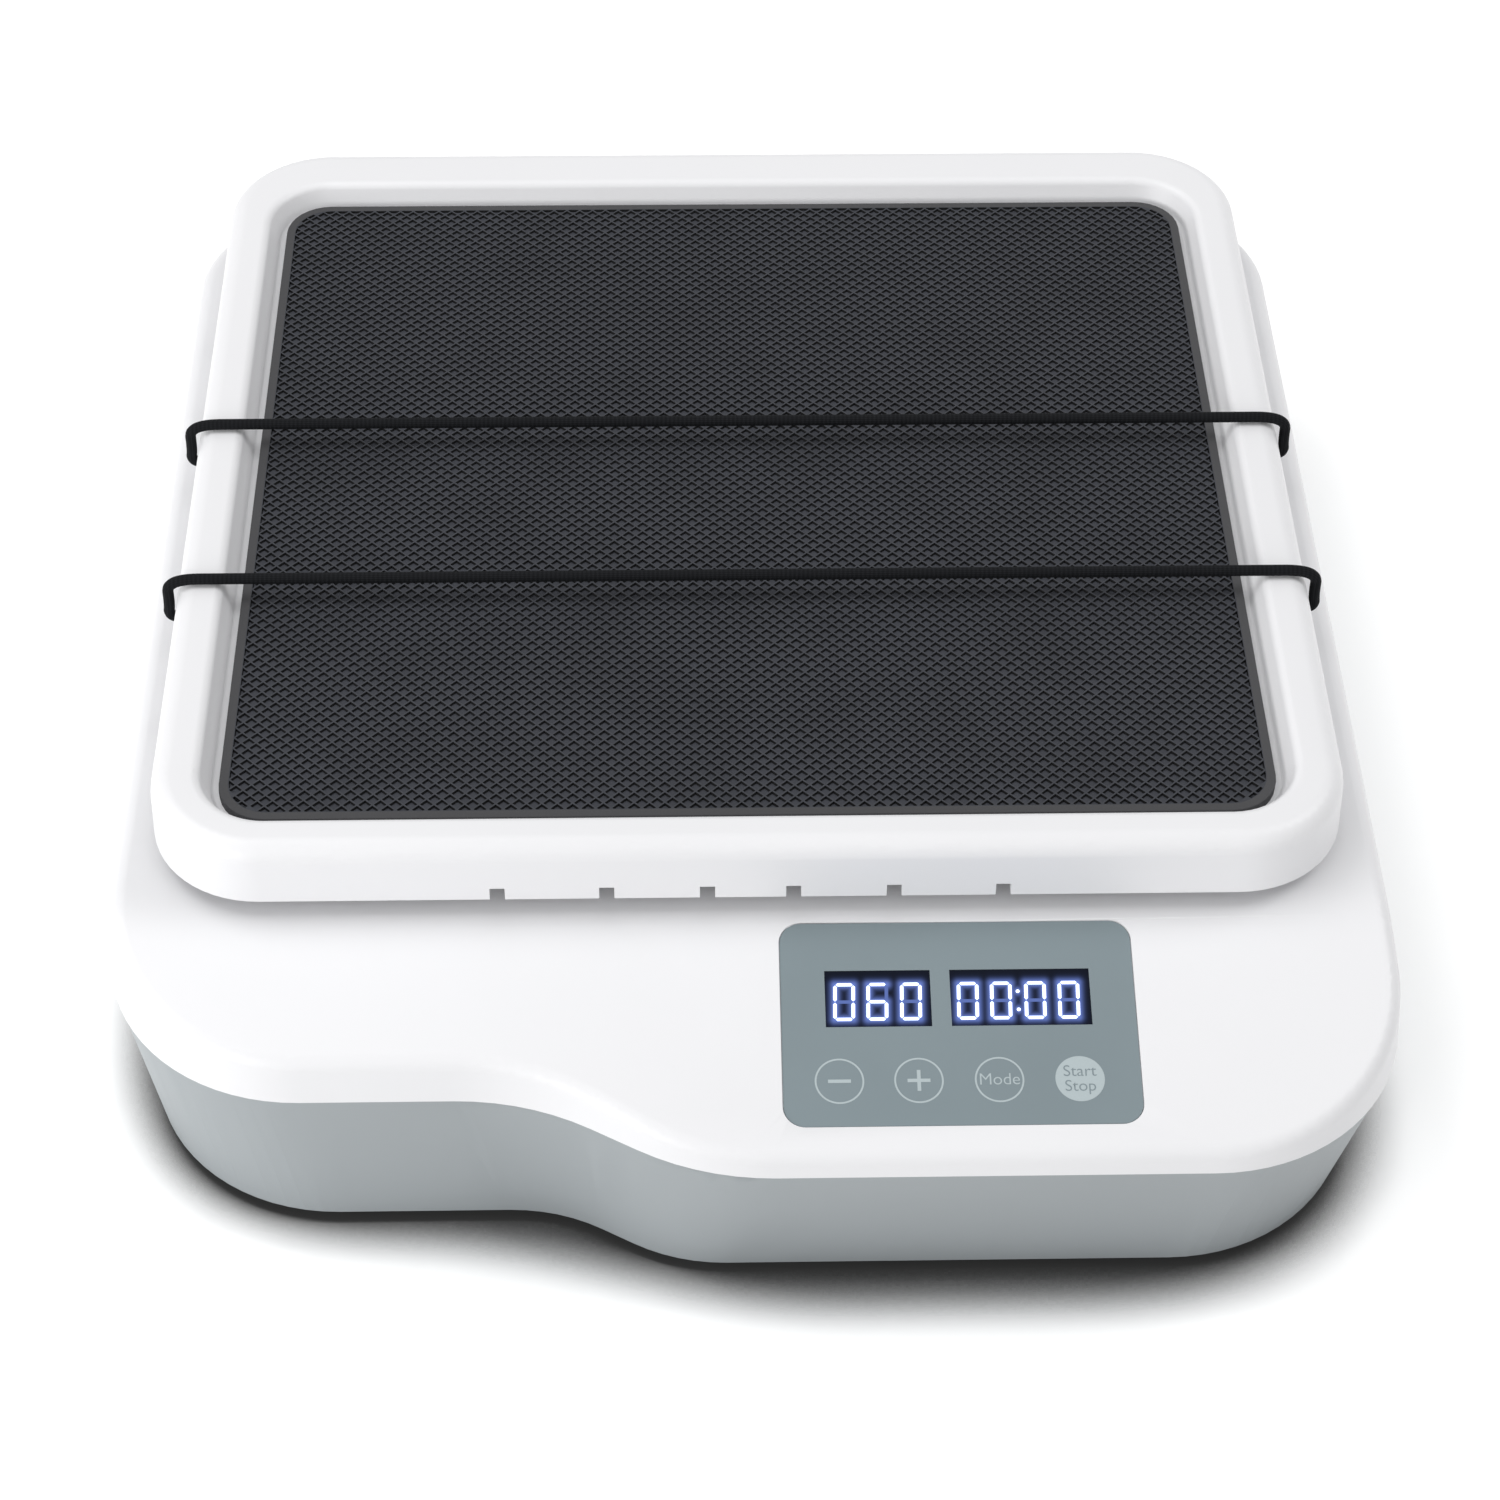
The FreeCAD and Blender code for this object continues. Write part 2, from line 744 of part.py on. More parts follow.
def cord(name, y):
    points = cord_route(y)
    fold = 0.9 * cord_diameter
    over_lip = tray_edge_radius + cord_clearance + cord_diameter / 2
    radii = (fold, over_lip, over_lip, fold)
    edges = []
    start = points[0]
    for i, radius in enumerate(radii):
        before, point, after = points[i:i + 3]
        back = (before - point).normalize()
        on = (after - point).normalize()
        centre = point + (back + on) * radius
        middle = centre - (back + on).normalize() * radius
        edges.append(Part.LineSegment(start, point + back * radius).toShape())
        edges.append(Part.Arc(point + back * radius, middle, point + on * radius).toShape())
        start = point + on * radius
    edges.append(Part.LineSegment(start, points[-1]).toShape())
    path = Part.Wire(edges)
    section = Part.Wire(Part.makeCircle(cord_diameter / 2, points[0], ALONG_X))
    body = path.makePipeShell([section], True, False)
    expected = math.pi * (cord_diameter / 2) ** 2 * path.Length
    print(name, "arc radii", [round(r, 2) for r in radii], "length %.1f" % path.Length,
          "volume ratio %.4f" % (body.Volume / expected))
    return body


def cord_beads():
    beads = []
    for offset in (rear_cord_notch, front_cord_notch):
        points = cord_route(tray_centre_y + offset)
        for side in (-1, 1):
            ball = Part.makeSphere(bead_radius, V(-bead_x(), points[0].y, points[0].z))
            trim = box(20, 20, 20, points[0].x - 10, points[0].y, points[0].z - 10)
            bead = ball.cut(trim)
            beads.append(bead if side < 0 else bead.mirror(V(0, 0, 0), ALONG_X))
    return group(beads)


# Chassis, guides and carriage


def chassis_plate():
    body = plate(rounded_rectangle(
        chassis_width, chassis_depth, chassis_corner_radius, chassis_bottom_z, 0, tray_centre_y),
        chassis_thickness)
    for x, y in chassis_screw_places:
        body = body.cut(cylinder(m4_radius + screw_clearance, 10, x, y, chassis_bottom_z - 2))
    body = body.cut(cylinder(motor_radius + 2, 10, motor_x, tray_centre_y, chassis_bottom_z - 2))
    for x, y in support_screw_places() + bearing_screw_places() + bracket_screw_places():
        body = body.cut(cylinder(m3_radius, 10, x, y, chassis_bottom_z - 2))
    for x, y in drive_board_places():
        body = body.cut(cylinder(m3_radius, 10, x, y, chassis_bottom_z - 2))
    return body


def rod_y(side):
    return tray_centre_y + side * rod_spacing / 2


def support_x(end):
    return end * (rod_length / 2 - support_length / 2)


def support_screw_places():
    offset = support_width / 2 - support_screw_inset
    return [
        (support_x(end), rod_y(side) + s * offset)
        for end in (-1, 1) for side in (-1, 1) for s in (-1, 1)
    ]


def rod_support(end, side):
    x = support_x(end)
    y = rod_y(side)
    foot = support_foot
    top = rod_z + support_top
    section = rounded_points([
        (V(x - support_length / 2, y - support_width / 2, chassis_top_z), 0),
        (V(x - support_length / 2, y + support_width / 2, chassis_top_z), 0),
        (V(x - support_length / 2, y + support_width / 2, chassis_top_z + foot), 2),
        (V(x - support_length / 2, y + support_top, chassis_top_z + foot), 2),
        (V(x - support_length / 2, y + support_top, top), 5),
        (V(x - support_length / 2, y - support_top, top), 5),
        (V(x - support_length / 2, y - support_top, chassis_top_z + foot), 2),
        (V(x - support_length / 2, y - support_width / 2, chassis_top_z + foot), 2),
    ])
    body = Part.Face(section).extrude(V(support_length, 0, 0))
    body = body.cut(cylinder(rod_radius, support_length, x - support_length / 2, y, rod_z, ALONG_X))
    body = body.cut(box(support_length, support_slit, support_top, x, y, rod_z + 1))
    for sx, sy in support_screw_places():
        if abs(sx - x) < 1 and abs(sy - y) < support_width / 2:
            body = body.cut(cylinder(m3_radius + screw_clearance, foot + 2, sx, sy, chassis_top_z - 1))
    return body


def block_places():
    return [(end * block_spacing / 2, side) for end in (-1, 1) for side in (-1, 1)]


def bearing_block(x, side):
    y = rod_y(side)
    body = box(block_length, block_width, block_height, x, y, rod_z - block_height / 2)
    sides = [e for e in body.Edges if e.BoundBox.XLength > block_length - 0.1]
    body = body.makeFillet(block_edge_radius, [e for e in sides if e.BoundBox.ZMax < rod_z])
    body = body.cut(cylinder(bushing_radius, block_length, x - block_length / 2, y, rod_z, ALONG_X))
    for sx, sy in block_screw_places():
        if abs(sx - x) < 1 and abs(sy - y) < block_width / 2:
            body = body.cut(cylinder(m3_radius, block_screw_depth, sx, sy, block_top_z - block_screw_depth))
    return body


def block_screw_places():
    offset = block_width / 2 - block_screw_inset
    return [(x, rod_y(side) + s * offset) for x, side in block_places() for s in (-1, 1)]


def linear_bushing(x, side):
    length = block_length - 2 * bushing_inset
    return tube(bushing_radius, rod_radius + bushing_clearance, length,
                x - length / 2, rod_y(side), rod_z, ALONG_X)


def carriage_plate():
    length = rod_spacing + block_width
    body = plate(rounded_rectangle(
        carriage_length, length, carriage_corner_radius, block_top_z, 0, tray_centre_y), carriage_thickness)
    body = body.cut(plate(rounded_rectangle(
        yoke_width - 20, yoke_length - 26, 6, block_top_z - 1, 0, tray_centre_y), 10))
    for side in (-1, 1):
        for end in (-1, 1):
            x = end * (carriage_length / 2 - carriage_window_inset)
            y = tray_centre_y + side * carriage_window_offset
            body = body.cut(plate(rounded_rectangle(
                carriage_window_width, carriage_window, 5, block_top_z - 1, x, y), 10))
    for x, y in block_screw_places() + yoke_screw_places():
        body = body.cut(cylinder(m3_radius + screw_clearance, 10, x, y, block_top_z - 2))
    for x, y in post_places:
        body = body.cut(cylinder(m4_radius + screw_clearance, 10, x, y, block_top_z - 2))
    return body


def tray_post(x, y):
    height = boss_bottom_z - carriage_top_z
    body = cylinder(post_radius, height, x, y, carriage_top_z)
    rims = [e for e in body.Edges if e.Closed and e.BoundBox.ZLength < 0.01]
    body = body.makeChamfer(post_edge_chamfer, rims)
    return body.cut(cylinder(m4_radius, height, x, y, carriage_top_z))


# Crank and drive

yoke_bottom_z = block_top_z - yoke_thickness
disc_top_z = yoke_bottom_z - yoke_disc_gap
disc_bottom_z = disc_top_z - crank_disc_thickness
pulley_top_z = disc_bottom_z - 0.5
pulley_bottom_z = pulley_top_z - pulley_height
bearing_top_z = pulley_bottom_z - pulley_gap
bearing_stack = 2 * bearing_width + bearing_gap


def crank_pin_place():
    return 0.0, tray_centre_y + crank_radius


def yoke_screw_places():
    x = yoke_width / 2 - yoke_screw_inset_x
    y = yoke_length / 2 - yoke_screw_inset_y
    return [(sx * x, tray_centre_y + sy * y) for sx in (-1, 1) for sy in (-1, 1)]


def yoke_plate():
    body = plate(rounded_rectangle(
        yoke_width, yoke_length, 6, yoke_bottom_z, 0, tray_centre_y), yoke_thickness)
    slot_width = 2 * (roller_radius + yoke_play)
    slot_length = 2 * (crank_radius + roller_radius + yoke_play)
    body = body.cut(obround(slot_length, slot_width, 20, 0, tray_centre_y, yoke_bottom_z - 5, ALONG_Y))
    for x, y in yoke_screw_places():
        body = body.cut(cylinder(m3_radius, yoke_screw_depth, x, y, block_top_z - yoke_screw_depth))
    return body


def crank_disc():
    low = disc_bottom_z
    body = cylinder(crank_disc_radius, crank_disc_thickness, 0, tray_centre_y, low)
    sector = Part.makeCylinder(counterweight_radius, crank_disc_thickness, V(0, tray_centre_y, low), UP, 150)
    sector.rotate(V(0, tray_centre_y, 0), UP, 195)
    body = joined(body, sector)
    x, y = crank_pin_place()
    body = body.cut(cylinder(crank_shaft_radius, 20, 0, tray_centre_y, low - 2))
    return body.cut(cylinder(pin_radius, 20, x, y, low - 2))


def crank_shaft():
    low = bearing_top_z - bearing_stack
    return cylinder(crank_shaft_radius, disc_top_z - low, 0, tray_centre_y, low)


roller_bottom_z = yoke_bottom_z + 1.0
clip_thickness = 0.8


def crank_pin():
    x, y = crank_pin_place()
    high = roller_bottom_z + roller_height + 0.2 + clip_thickness
    shank = cylinder(pin_radius, high + 0.4 - disc_bottom_z, x, y, disc_bottom_z)
    collar = cylinder(pin_radius + 1.4, roller_bottom_z - 0.2 - disc_top_z, x, y, disc_top_z)
    groove = tube(pin_radius + 1, pin_radius - 0.5, clip_thickness, x, y, high - clip_thickness)
    return shank.fuse(collar).cut(groove).removeSplitter()


def crank_roller():
    x, y = crank_pin_place()
    return tube(roller_radius, pin_radius + roller_clearance, roller_height, x, y, roller_bottom_z)


def roller_clip():
    x, y = crank_pin_place()
    low = roller_bottom_z + roller_height + 0.2
    ring = tube(pin_radius + 1.2, pin_radius - 0.5, clip_thickness, x, y, low)
    return ring.cut(box(2.4, 8, 4, x, y + 4, low - 1))


def pulley(radius, bore, x, y):
    grip = radius - pulley_flange
    body = cylinder(grip, pulley_height, x, y, pulley_bottom_z)
    low = cylinder(radius, pulley_flange_thickness, x, y, pulley_bottom_z)
    high = cylinder(radius, pulley_flange_thickness, x, y, pulley_top_z - pulley_flange_thickness)
    body = joined(body, low, high)
    return body.cut(cylinder(bore, pulley_height, x, y, pulley_bottom_z))


def driven_pulley():
    body = pulley(driven_pulley_radius, crank_shaft_radius, 0, tray_centre_y)
    for k in range(5):
        turn = 2 * math.pi * k / 5
        x = 19 * math.cos(turn)
        y = tray_centre_y + 19 * math.sin(turn)
        body = body.cut(cylinder(6.0, pulley_height, x, y, pulley_bottom_z))
    return body


def drive_belt():
    """Flat belt round both pulleys, its runs tangent to them."""
    grip_big = driven_pulley_radius - pulley_flange + belt_clearance
    grip_small = drive_pulley_radius - pulley_flange + belt_clearance
    height = pulley_height - 2 * pulley_flange_thickness - 1.0
    z = pulley_bottom_z + pulley_flange_thickness + 0.5

    def loop(extra):
        big = grip_big + extra
        small = grip_small + extra
        lean = math.asin((big - small) / abs(motor_x))
        ends = []
        for centre_x, radius in ((0, big), (motor_x, small)):
            for way in (1, -1):
                direction = V(-math.sin(lean), way * math.cos(lean), 0)
                ends.append(V(centre_x, tray_centre_y, z) + direction * radius)
        big_up, big_down, small_up, small_down = ends
        edges = [
            Part.Arc(big_down, V(big, tray_centre_y, z), big_up).toShape(),
            Part.LineSegment(big_up, small_up).toShape(),
            Part.Arc(small_up, V(motor_x - small, tray_centre_y, z), small_down).toShape(),
            Part.LineSegment(small_down, big_down).toShape(),
        ]
        return plate(Part.Wire(edges), height)

    return loop(belt_thickness).cut(loop(0))


def bearing_screw_places():
    offset = bearing_flange / 2 - bearing_screw_inset
    return [(sx * offset, tray_centre_y + sy * offset) for sx in (-1, 1) for sy in (-1, 1)]


def bearing_housing():
    flange = plate(rounded_rectangle(
        bearing_flange, bearing_flange, 8, chassis_top_z, 0, tray_centre_y), bearing_flange_thickness)
    barrel = cylinder(bearing_housing_radius, bearing_top_z - chassis_top_z, 0, tray_centre_y, chassis_top_z)
    body = joined(flange, barrel)
    seat_z = bearing_top_z - bearing_stack
    body = body.cut(cylinder(bearing_outer_radius, bearing_stack + 1, 0, tray_centre_y, seat_z))
    through = bearing_outer_radius - bearing_seat_lip
    body = body.cut(cylinder(through, 60, 0, tray_centre_y, chassis_top_z - 1))
    for x, y in bearing_screw_places():
        body = body.cut(cylinder(m3_radius + screw_clearance, 10, x, y, chassis_top_z - 1))
    return body


def bearing_levels():
    upper = bearing_top_z - bearing_width
    return (upper, upper - bearing_gap - bearing_width)


def race_ring(inner, outer, low, groove_radius):
    """Ring with a ball groove, revolved about the crank axis."""
    pitch = (crank_shaft_radius + bearing_outer_radius) / 2
    body = tube(outer, inner, bearing_width, 0, tray_centre_y, low)
    middle = V(0, tray_centre_y, low + bearing_width / 2)
    groove = Part.makeTorus(pitch, groove_radius, middle, UP)
    return body.cut(groove)


def bearing_outer_rings():
    inner = bearing_outer_radius - bearing_ring
    groove = ball_radius + running_clearance
    return group([race_ring(inner, bearing_outer_radius, low, groove) for low in bearing_levels()])


def bearing_inner_rings():
    outer = crank_shaft_radius + bearing_ring
    groove = ball_radius + running_clearance
    return group([race_ring(crank_shaft_radius, outer, low, groove) for low in bearing_levels()])


def bearing_balls():
    pitch = (crank_shaft_radius + bearing_outer_radius) / 2
    balls = []
    for low in bearing_levels():
        for k in range(ball_count):
            turn = 2 * math.pi * k / ball_count
            x = pitch * math.cos(turn)
            y = tray_centre_y + pitch * math.sin(turn)
            balls.append(Part.makeSphere(ball_radius, V(x, y, low + bearing_width / 2)))
    return group(balls)


bracket_top_z = chassis_top_z + motor_bracket_height
motor_top_z = bracket_top_z - motor_bracket_thickness


def motor_bracket():
    half = motor_radius + motor_bracket_gap
    thick = motor_bracket_thickness
    section = [
        (V(-half - motor_bracket_flange, 0, chassis_top_z), 0),
        (V(-half, 0, chassis_top_z), 0),
        (V(-half, 0, motor_top_z), 0),
        (V(half, 0, motor_top_z), 0),
        (V(half, 0, chassis_top_z), 0),
        (V(half + motor_bracket_flange, 0, chassis_top_z), 0),
        (V(half + motor_bracket_flange, 0, chassis_top_z + thick), 0),
        (V(half + thick, 0, chassis_top_z + thick), 1.5),
        (V(half + thick, 0, bracket_top_z), 3),
        (V(-half - thick, 0, bracket_top_z), 3),
        (V(-half - thick, 0, chassis_top_z + thick), 1.5),
        (V(-half - motor_bracket_flange, 0, chassis_top_z + thick), 0),
    ]
    turned = [(V(motor_x + p.y, tray_centre_y + p.x, p.z), r) for p, r in section]
    shift = V(-motor_bracket_width / 2, 0, 0)
    wire = rounded_points([(p + shift, r) for p, r in turned])
    body = Part.Face(wire).extrude(V(motor_bracket_width, 0, 0))
    body = body.cut(cylinder(motor_boss_radius + 1, 20, motor_x, tray_centre_y, motor_top_z - 1))
    for x, y in motor_screw_places():
        body = body.cut(cylinder(m3_radius + screw_clearance, 10, x, y, motor_top_z - 1))
    for x, y in bracket_screw_places():
        body = body.cut(cylinder(m3_radius + screw_clearance, 10, x, y, chassis_top_z - 1))
    return body


def motor_screw_places():
    return [
        (motor_x + motor_screw_circle * math.cos(a), tray_centre_y + motor_screw_circle * math.sin(a))
        for a in (math.pi / 4 + k * math.pi / 2 for k in range(4))
    ]


def bracket_screw_places():
    y = motor_radius + motor_bracket_gap + (motor_bracket_flange + motor_bracket_thickness) / 2
    x = motor_bracket_width / 2 - 8
    return [(motor_x + sx * x, tray_centre_y + sy * y) for sx in (-1, 1) for sy in (-1, 1)]


def motor_case():
    low = motor_top_z - motor_height
    body = cylinder(motor_radius, motor_height, motor_x, tray_centre_y, low)
    rims = [e for e in body.Edges if e.Closed and e.BoundBox.ZLength < 0.01]
    body = body.makeFillet(1.5, rims)
    body = joined(body, cylinder(motor_boss_radius, 2, motor_x, tray_centre_y, motor_top_z))
    hollow = cylinder(motor_radius - motor_wall, motor_height - 2 * 3, motor_x, tray_centre_y, low + 3)
    body = body.cut(hollow)
    body = body.cut(cylinder(motor_shaft_radius + running_clearance, 60, motor_x, tray_centre_y, low + 1.5))
    for x, y in motor_screw_places():
        body = body.cut(cylinder(m3_radius, 3, x, y, motor_top_z - 3))
    return body


def motor_rotor():
    low = motor_top_z - motor_height
    drum = cylinder(motor_radius - motor_wall - 1, motor_height - 8, motor_x, tray_centre_y, low + 4)
    shaft = cylinder(motor_shaft_radius, pulley_top_z - low - 2, motor_x, tray_centre_y, low + 2)
    return joined(drum, shaft)


def drive_board_places():
    x = drive_board_width / 2 - drive_board_hole_inset_x
    y = drive_board_length / 2 - drive_board_hole_inset_y
    return [(drive_board_x + sx * x, tray_centre_y + sy * y) for sx in (-1, 1) for sy in (-1, 1)]


def drive_board():
    z = chassis_top_z + board_stand_off
    top = z + board_thickness
    board = box(drive_board_width, drive_board_length, board_thickness, drive_board_x, tray_centre_y, z)
    for x, y in drive_board_places():
        board = board.cut(cylinder(m3_radius + screw_clearance, 5, x, y, z - 1))
    parts = []
    for offset in capacitor_offsets:
        parts.append(cylinder(
            capacitor_radius, capacitor_height, drive_board_x + capacitor_x, tray_centre_y + offset, top))
    for size, place in ((connector_size, connector_place), (driver_size, driver_place)):
        parts.append(box(*size, drive_board_x + place[0], tray_centre_y + place[1], top))
    return joined(board, *parts)


def drive_board_pillars():
    height = board_stand_off
    return [tube(pillar_radius, m3_radius, height, x, y, chassis_top_z) for x, y in drive_board_places()]


# Back wall fittings


def back_wall_y(z):
    """Outer face of the lower casing's back wall at z."""
    return back_y - draw_in_back * (parting_z - z) / (parting_z - casing_bottom_z) - parting_reveal


def power_socket():
    rim = socket_radius + socket_wall
    wall_y = back_wall_y(socket_z + rim)
    flange = cylinder(rim, socket_flange_thickness, socket_x, wall_y, socket_z, ALONG_Y)
    inner_y = wall_y - socket_depth
    outer = socket_radius - switch_clearance
    length = socket_depth + socket_flange_thickness
    body = joined(flange, cylinder(outer, length, socket_x, inner_y, socket_z, ALONG_Y))
    bore = outer - socket_wall
    body = body.cut(cylinder(bore, length, socket_x, inner_y + socket_pin_base, socket_z, ALONG_Y))
    pin_length = 0.75 * socket_depth
    return joined(body, cylinder(socket_pin_radius, pin_length, socket_x, inner_y + 2, socket_z, ALONG_Y))


def switch_body():
    y = switch_wall_y()
    frame = box(switch_width + 2 * switch_rim, switch_rim_thickness, switch_height + 2 * switch_rim,
                switch_x, y + switch_rim_thickness / 2, socket_z - switch_height / 2 - switch_rim)
    barrel = box(switch_width - 2 * switch_clearance, switch_depth, switch_height - 2 * switch_clearance,
                 switch_x, y - switch_depth / 2, socket_z - switch_height / 2 + switch_clearance)
    body = joined(frame, barrel)
    inside_depth = switch_depth - 5
    inside = box(switch_width - 2 * switch_frame, inside_depth + 2, switch_height - 2 * switch_frame,
                 switch_x, y + 1 - inside_depth / 2, socket_z - switch_height / 2 + switch_frame)
    return body.cut(inside)


def switch_wall_y():
    return back_wall_y(socket_z + switch_height / 2 + switch_rim)


def rocker_axis():
    return V(switch_x, switch_wall_y() - rocker_depth, socket_z)


def switch_rocker():
    """Rocker with a shallow V face; its lower half is pressed in at rest."""
    centre = rocker_axis()
    width = switch_width - 2 * switch_frame - 2 * rocker_clearance
    half = switch_height / 2 - switch_frame - rocker_end_clearance
    face = rocker_face
    section = rounded_points([
        (V(-width / 2, -rocker_depth, -half + 1.0), 0.6),
        (V(-width / 2, face - 1.0, -half), 0.4),
        (V(-width / 2, face - 0.6, 0), 0),
        (V(-width / 2, face - 1.0, half), 0.4),
        (V(-width / 2, -rocker_depth, half - 1.0), 0.6),
    ])
    body = Part.Face(section).extrude(V(width, 0, 0))
    body.rotate(V(0, 0, 0), ALONG_X, rocker_tilt_deg)
    body.translate(centre)
    return body


def foot(x, y):
    pad = cylinder(foot_radius, casing_bottom_z + foot_recess, x, y, 0)
    low = [e for e in pad.Edges if e.Closed and e.BoundBox.ZMax < casing_bottom_z]
    return pad.makeFillet(foot_edge_radius, low)


def build():
    save("lower_housing", lower_housing())
    save("top_cover", top_cover())
    save("tray", tray())
    save("rubber_mat", rubber_mat())
    save("elastic_cord_rear", cord("rear cord", tray_centre_y + rear_cord_notch))
    save("elastic_cord_front", cord("front cord", tray_centre_y + front_cord_notch))
    save("cord_beads", cord_beads())
    save("control_panel", control_panel())
    save("display_window_speed", display_window(0))
    save("display_window_time", display_window(1))
    save("display_modules", display_modules())
    save("control_board", control_board())
    for name, (x, y) in foot_places.items():
        save(name, foot(x, y))
    save("housing_screws", group([
        screw(m4_radius, head_pocket_depth + cover_grip, x, y, boss_screw_head_z, down=False)
        for x, y in casing_bosses]))
    save("chassis_plate", chassis_plate())
    save("chassis_screws", group([
        screw(m4_radius, chassis_thickness + block_grip, x, y, chassis_top_z)
        for x, y in chassis_screw_places]))
    for end, end_name in ((-1, "left"), (1, "right")):
        for side, side_name in ((-1, "front"), (1, "rear")):
            tail = side_name + "_" + end_name
            save("rod_support_" + tail, rod_support(end, side))
            x = end * block_spacing / 2
            save("bearing_block_" + tail, bearing_block(x, side))
            post_x = end * post_spacing_x / 2
            post_y = tray_centre_y + side * post_spacing_y / 2
            save("tray_post_" + tail, tray_post(post_x, post_y))
    for side, side_name in ((-1, "front"), (1, "rear")):
        save("guide_rod_" + side_name, cylinder(
            rod_radius, rod_length, -rod_length / 2, rod_y(side), rod_z, ALONG_X))
    save("linear_bushings", group([linear_bushing(x, side) for x, side in block_places()]))
    save("carriage_plate", carriage_plate())
    carriage_screw = carriage_thickness + block_grip
    save("carriage_screws", group([
        screw(m3_radius, carriage_screw, x, y, carriage_top_z)
        for x, y in block_screw_places() + yoke_screw_places()]))
    save("post_screws", group([
        screw(m4_radius, carriage_screw, x, y, block_top_z, down=False) for x, y in post_places]))
    save("tray_screws", group([tray_screw(x, y) for x, y in post_places]))
    save("yoke_plate", yoke_plate())
    save("crank_disc", crank_disc())
    save("crank_shaft", crank_shaft())
    save("crank_pin", crank_pin())
    save("crank_roller", crank_roller())
    save("roller_clip", roller_clip())
    save("driven_pulley", driven_pulley())
    save("drive_pulley", pulley(drive_pulley_radius, motor_shaft_radius, motor_x, tray_centre_y))
    save("drive_belt", drive_belt())
    save("bearing_housing", bearing_housing())
    save("bearing_outer_rings", bearing_outer_rings())
    save("bearing_inner_rings", bearing_inner_rings())
    save("bearing_balls", bearing_balls())
    save("motor_bracket", motor_bracket())
    save("motor_case", motor_case())
    save("motor_rotor", motor_rotor())
    save("small_screws", group(control_board_screws() + chassis_small_screws()))
    save("drive_board", drive_board())
    save("board_pillars", group(control_board_pillars() + drive_board_pillars()))
    save("power_socket", power_socket())
    save("switch_body", switch_body())
    save("switch_rocker", switch_rocker())


def tray_screw(x, y):
    """Countersunk screw, flush with the pan floor under the mat."""
    head_low = pan_top_z - countersink_depth
    head = Part.makeCone(m4_radius, countersink_radius, countersink_depth, V(x, y, head_low))
    shank_low = boss_bottom_z - tray_grip
    return head.fuse(cylinder(m4_radius, head_low - shank_low, x, y, shank_low)).removeSplitter()


def chassis_small_screws():
    """Screws through the rod supports, the bearing housing and the motor bracket."""
    screws = []
    for thickness, places in (
        (support_foot, support_screw_places()),
        (bearing_flange_thickness, bearing_screw_places()),
        (motor_bracket_thickness, bracket_screw_places()),
    ):
        for x, y in places:
            screws.append(screw(m3_radius, thickness + plate_grip, x, y, chassis_top_z + thickness))
    for x, y in motor_screw_places():
        screws.append(screw(m3_radius, motor_bracket_thickness + motor_grip, x, y, bracket_top_z))
    return screws


build()
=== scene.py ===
import bpy
import bmesh
import json
import math
from mathutils import Matrix, Vector

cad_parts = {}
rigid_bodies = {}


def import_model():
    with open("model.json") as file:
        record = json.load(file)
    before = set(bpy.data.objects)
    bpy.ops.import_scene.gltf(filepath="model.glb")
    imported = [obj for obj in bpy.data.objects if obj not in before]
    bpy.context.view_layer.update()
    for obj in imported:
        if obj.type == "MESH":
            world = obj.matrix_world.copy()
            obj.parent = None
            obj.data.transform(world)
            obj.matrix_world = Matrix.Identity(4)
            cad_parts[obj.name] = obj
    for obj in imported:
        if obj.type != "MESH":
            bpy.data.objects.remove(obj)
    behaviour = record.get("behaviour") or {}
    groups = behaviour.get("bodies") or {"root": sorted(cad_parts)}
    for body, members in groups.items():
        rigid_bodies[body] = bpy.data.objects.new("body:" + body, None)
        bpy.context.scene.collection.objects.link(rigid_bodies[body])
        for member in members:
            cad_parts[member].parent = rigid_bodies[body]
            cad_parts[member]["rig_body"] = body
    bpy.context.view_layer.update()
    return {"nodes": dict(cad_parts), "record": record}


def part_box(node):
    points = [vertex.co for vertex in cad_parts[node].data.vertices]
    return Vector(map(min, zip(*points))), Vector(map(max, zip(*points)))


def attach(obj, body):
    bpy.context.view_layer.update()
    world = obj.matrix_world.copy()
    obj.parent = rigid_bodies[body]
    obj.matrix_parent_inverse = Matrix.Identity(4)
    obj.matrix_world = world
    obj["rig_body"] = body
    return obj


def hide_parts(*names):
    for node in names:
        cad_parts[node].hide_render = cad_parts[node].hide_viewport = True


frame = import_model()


# Camera, set by the corners of the casing, the tray and the mat in the photograph

cameraValues = {
    "focal": 3387.6,  # in pixels of the frame
    "frame": 1500,
    "sensor": 36.0,
    "clip": (0.01, 50),
    "place": (-0.01777, -0.75342, 0.78440),
    "pitch": 45.641,  # degrees below level
    "yaw": -1.572,
    "roll": 0.601,
}


def makeCamera(values):
    data = bpy.data.cameras.new("camera")
    data.sensor_width = values["sensor"]
    data.lens = values["focal"] * values["sensor"] / values["frame"]
    data.clip_start, data.clip_end = values["clip"]
    camera = bpy.data.objects.new("camera", data)
    bpy.context.scene.collection.objects.link(camera)
    turn = Matrix.Rotation(math.radians(values["yaw"]), 4, "Z")
    tilt = Matrix.Rotation(math.radians(90 - values["pitch"]), 4, "X")
    roll = Matrix.Rotation(math.radians(values["roll"]), 4, "Z")
    camera.matrix_world = Matrix.Translation(values["place"]) @ turn @ tilt @ roll
    bpy.context.scene.camera = camera
    print("camera: lens", round(data.lens, 1), "mm")


makeCamera(cameraValues)
bpy.context.scene.view_settings.view_transform = "Standard"


# Shader sums: a Wire is an output of a node, and takes part in Python sums

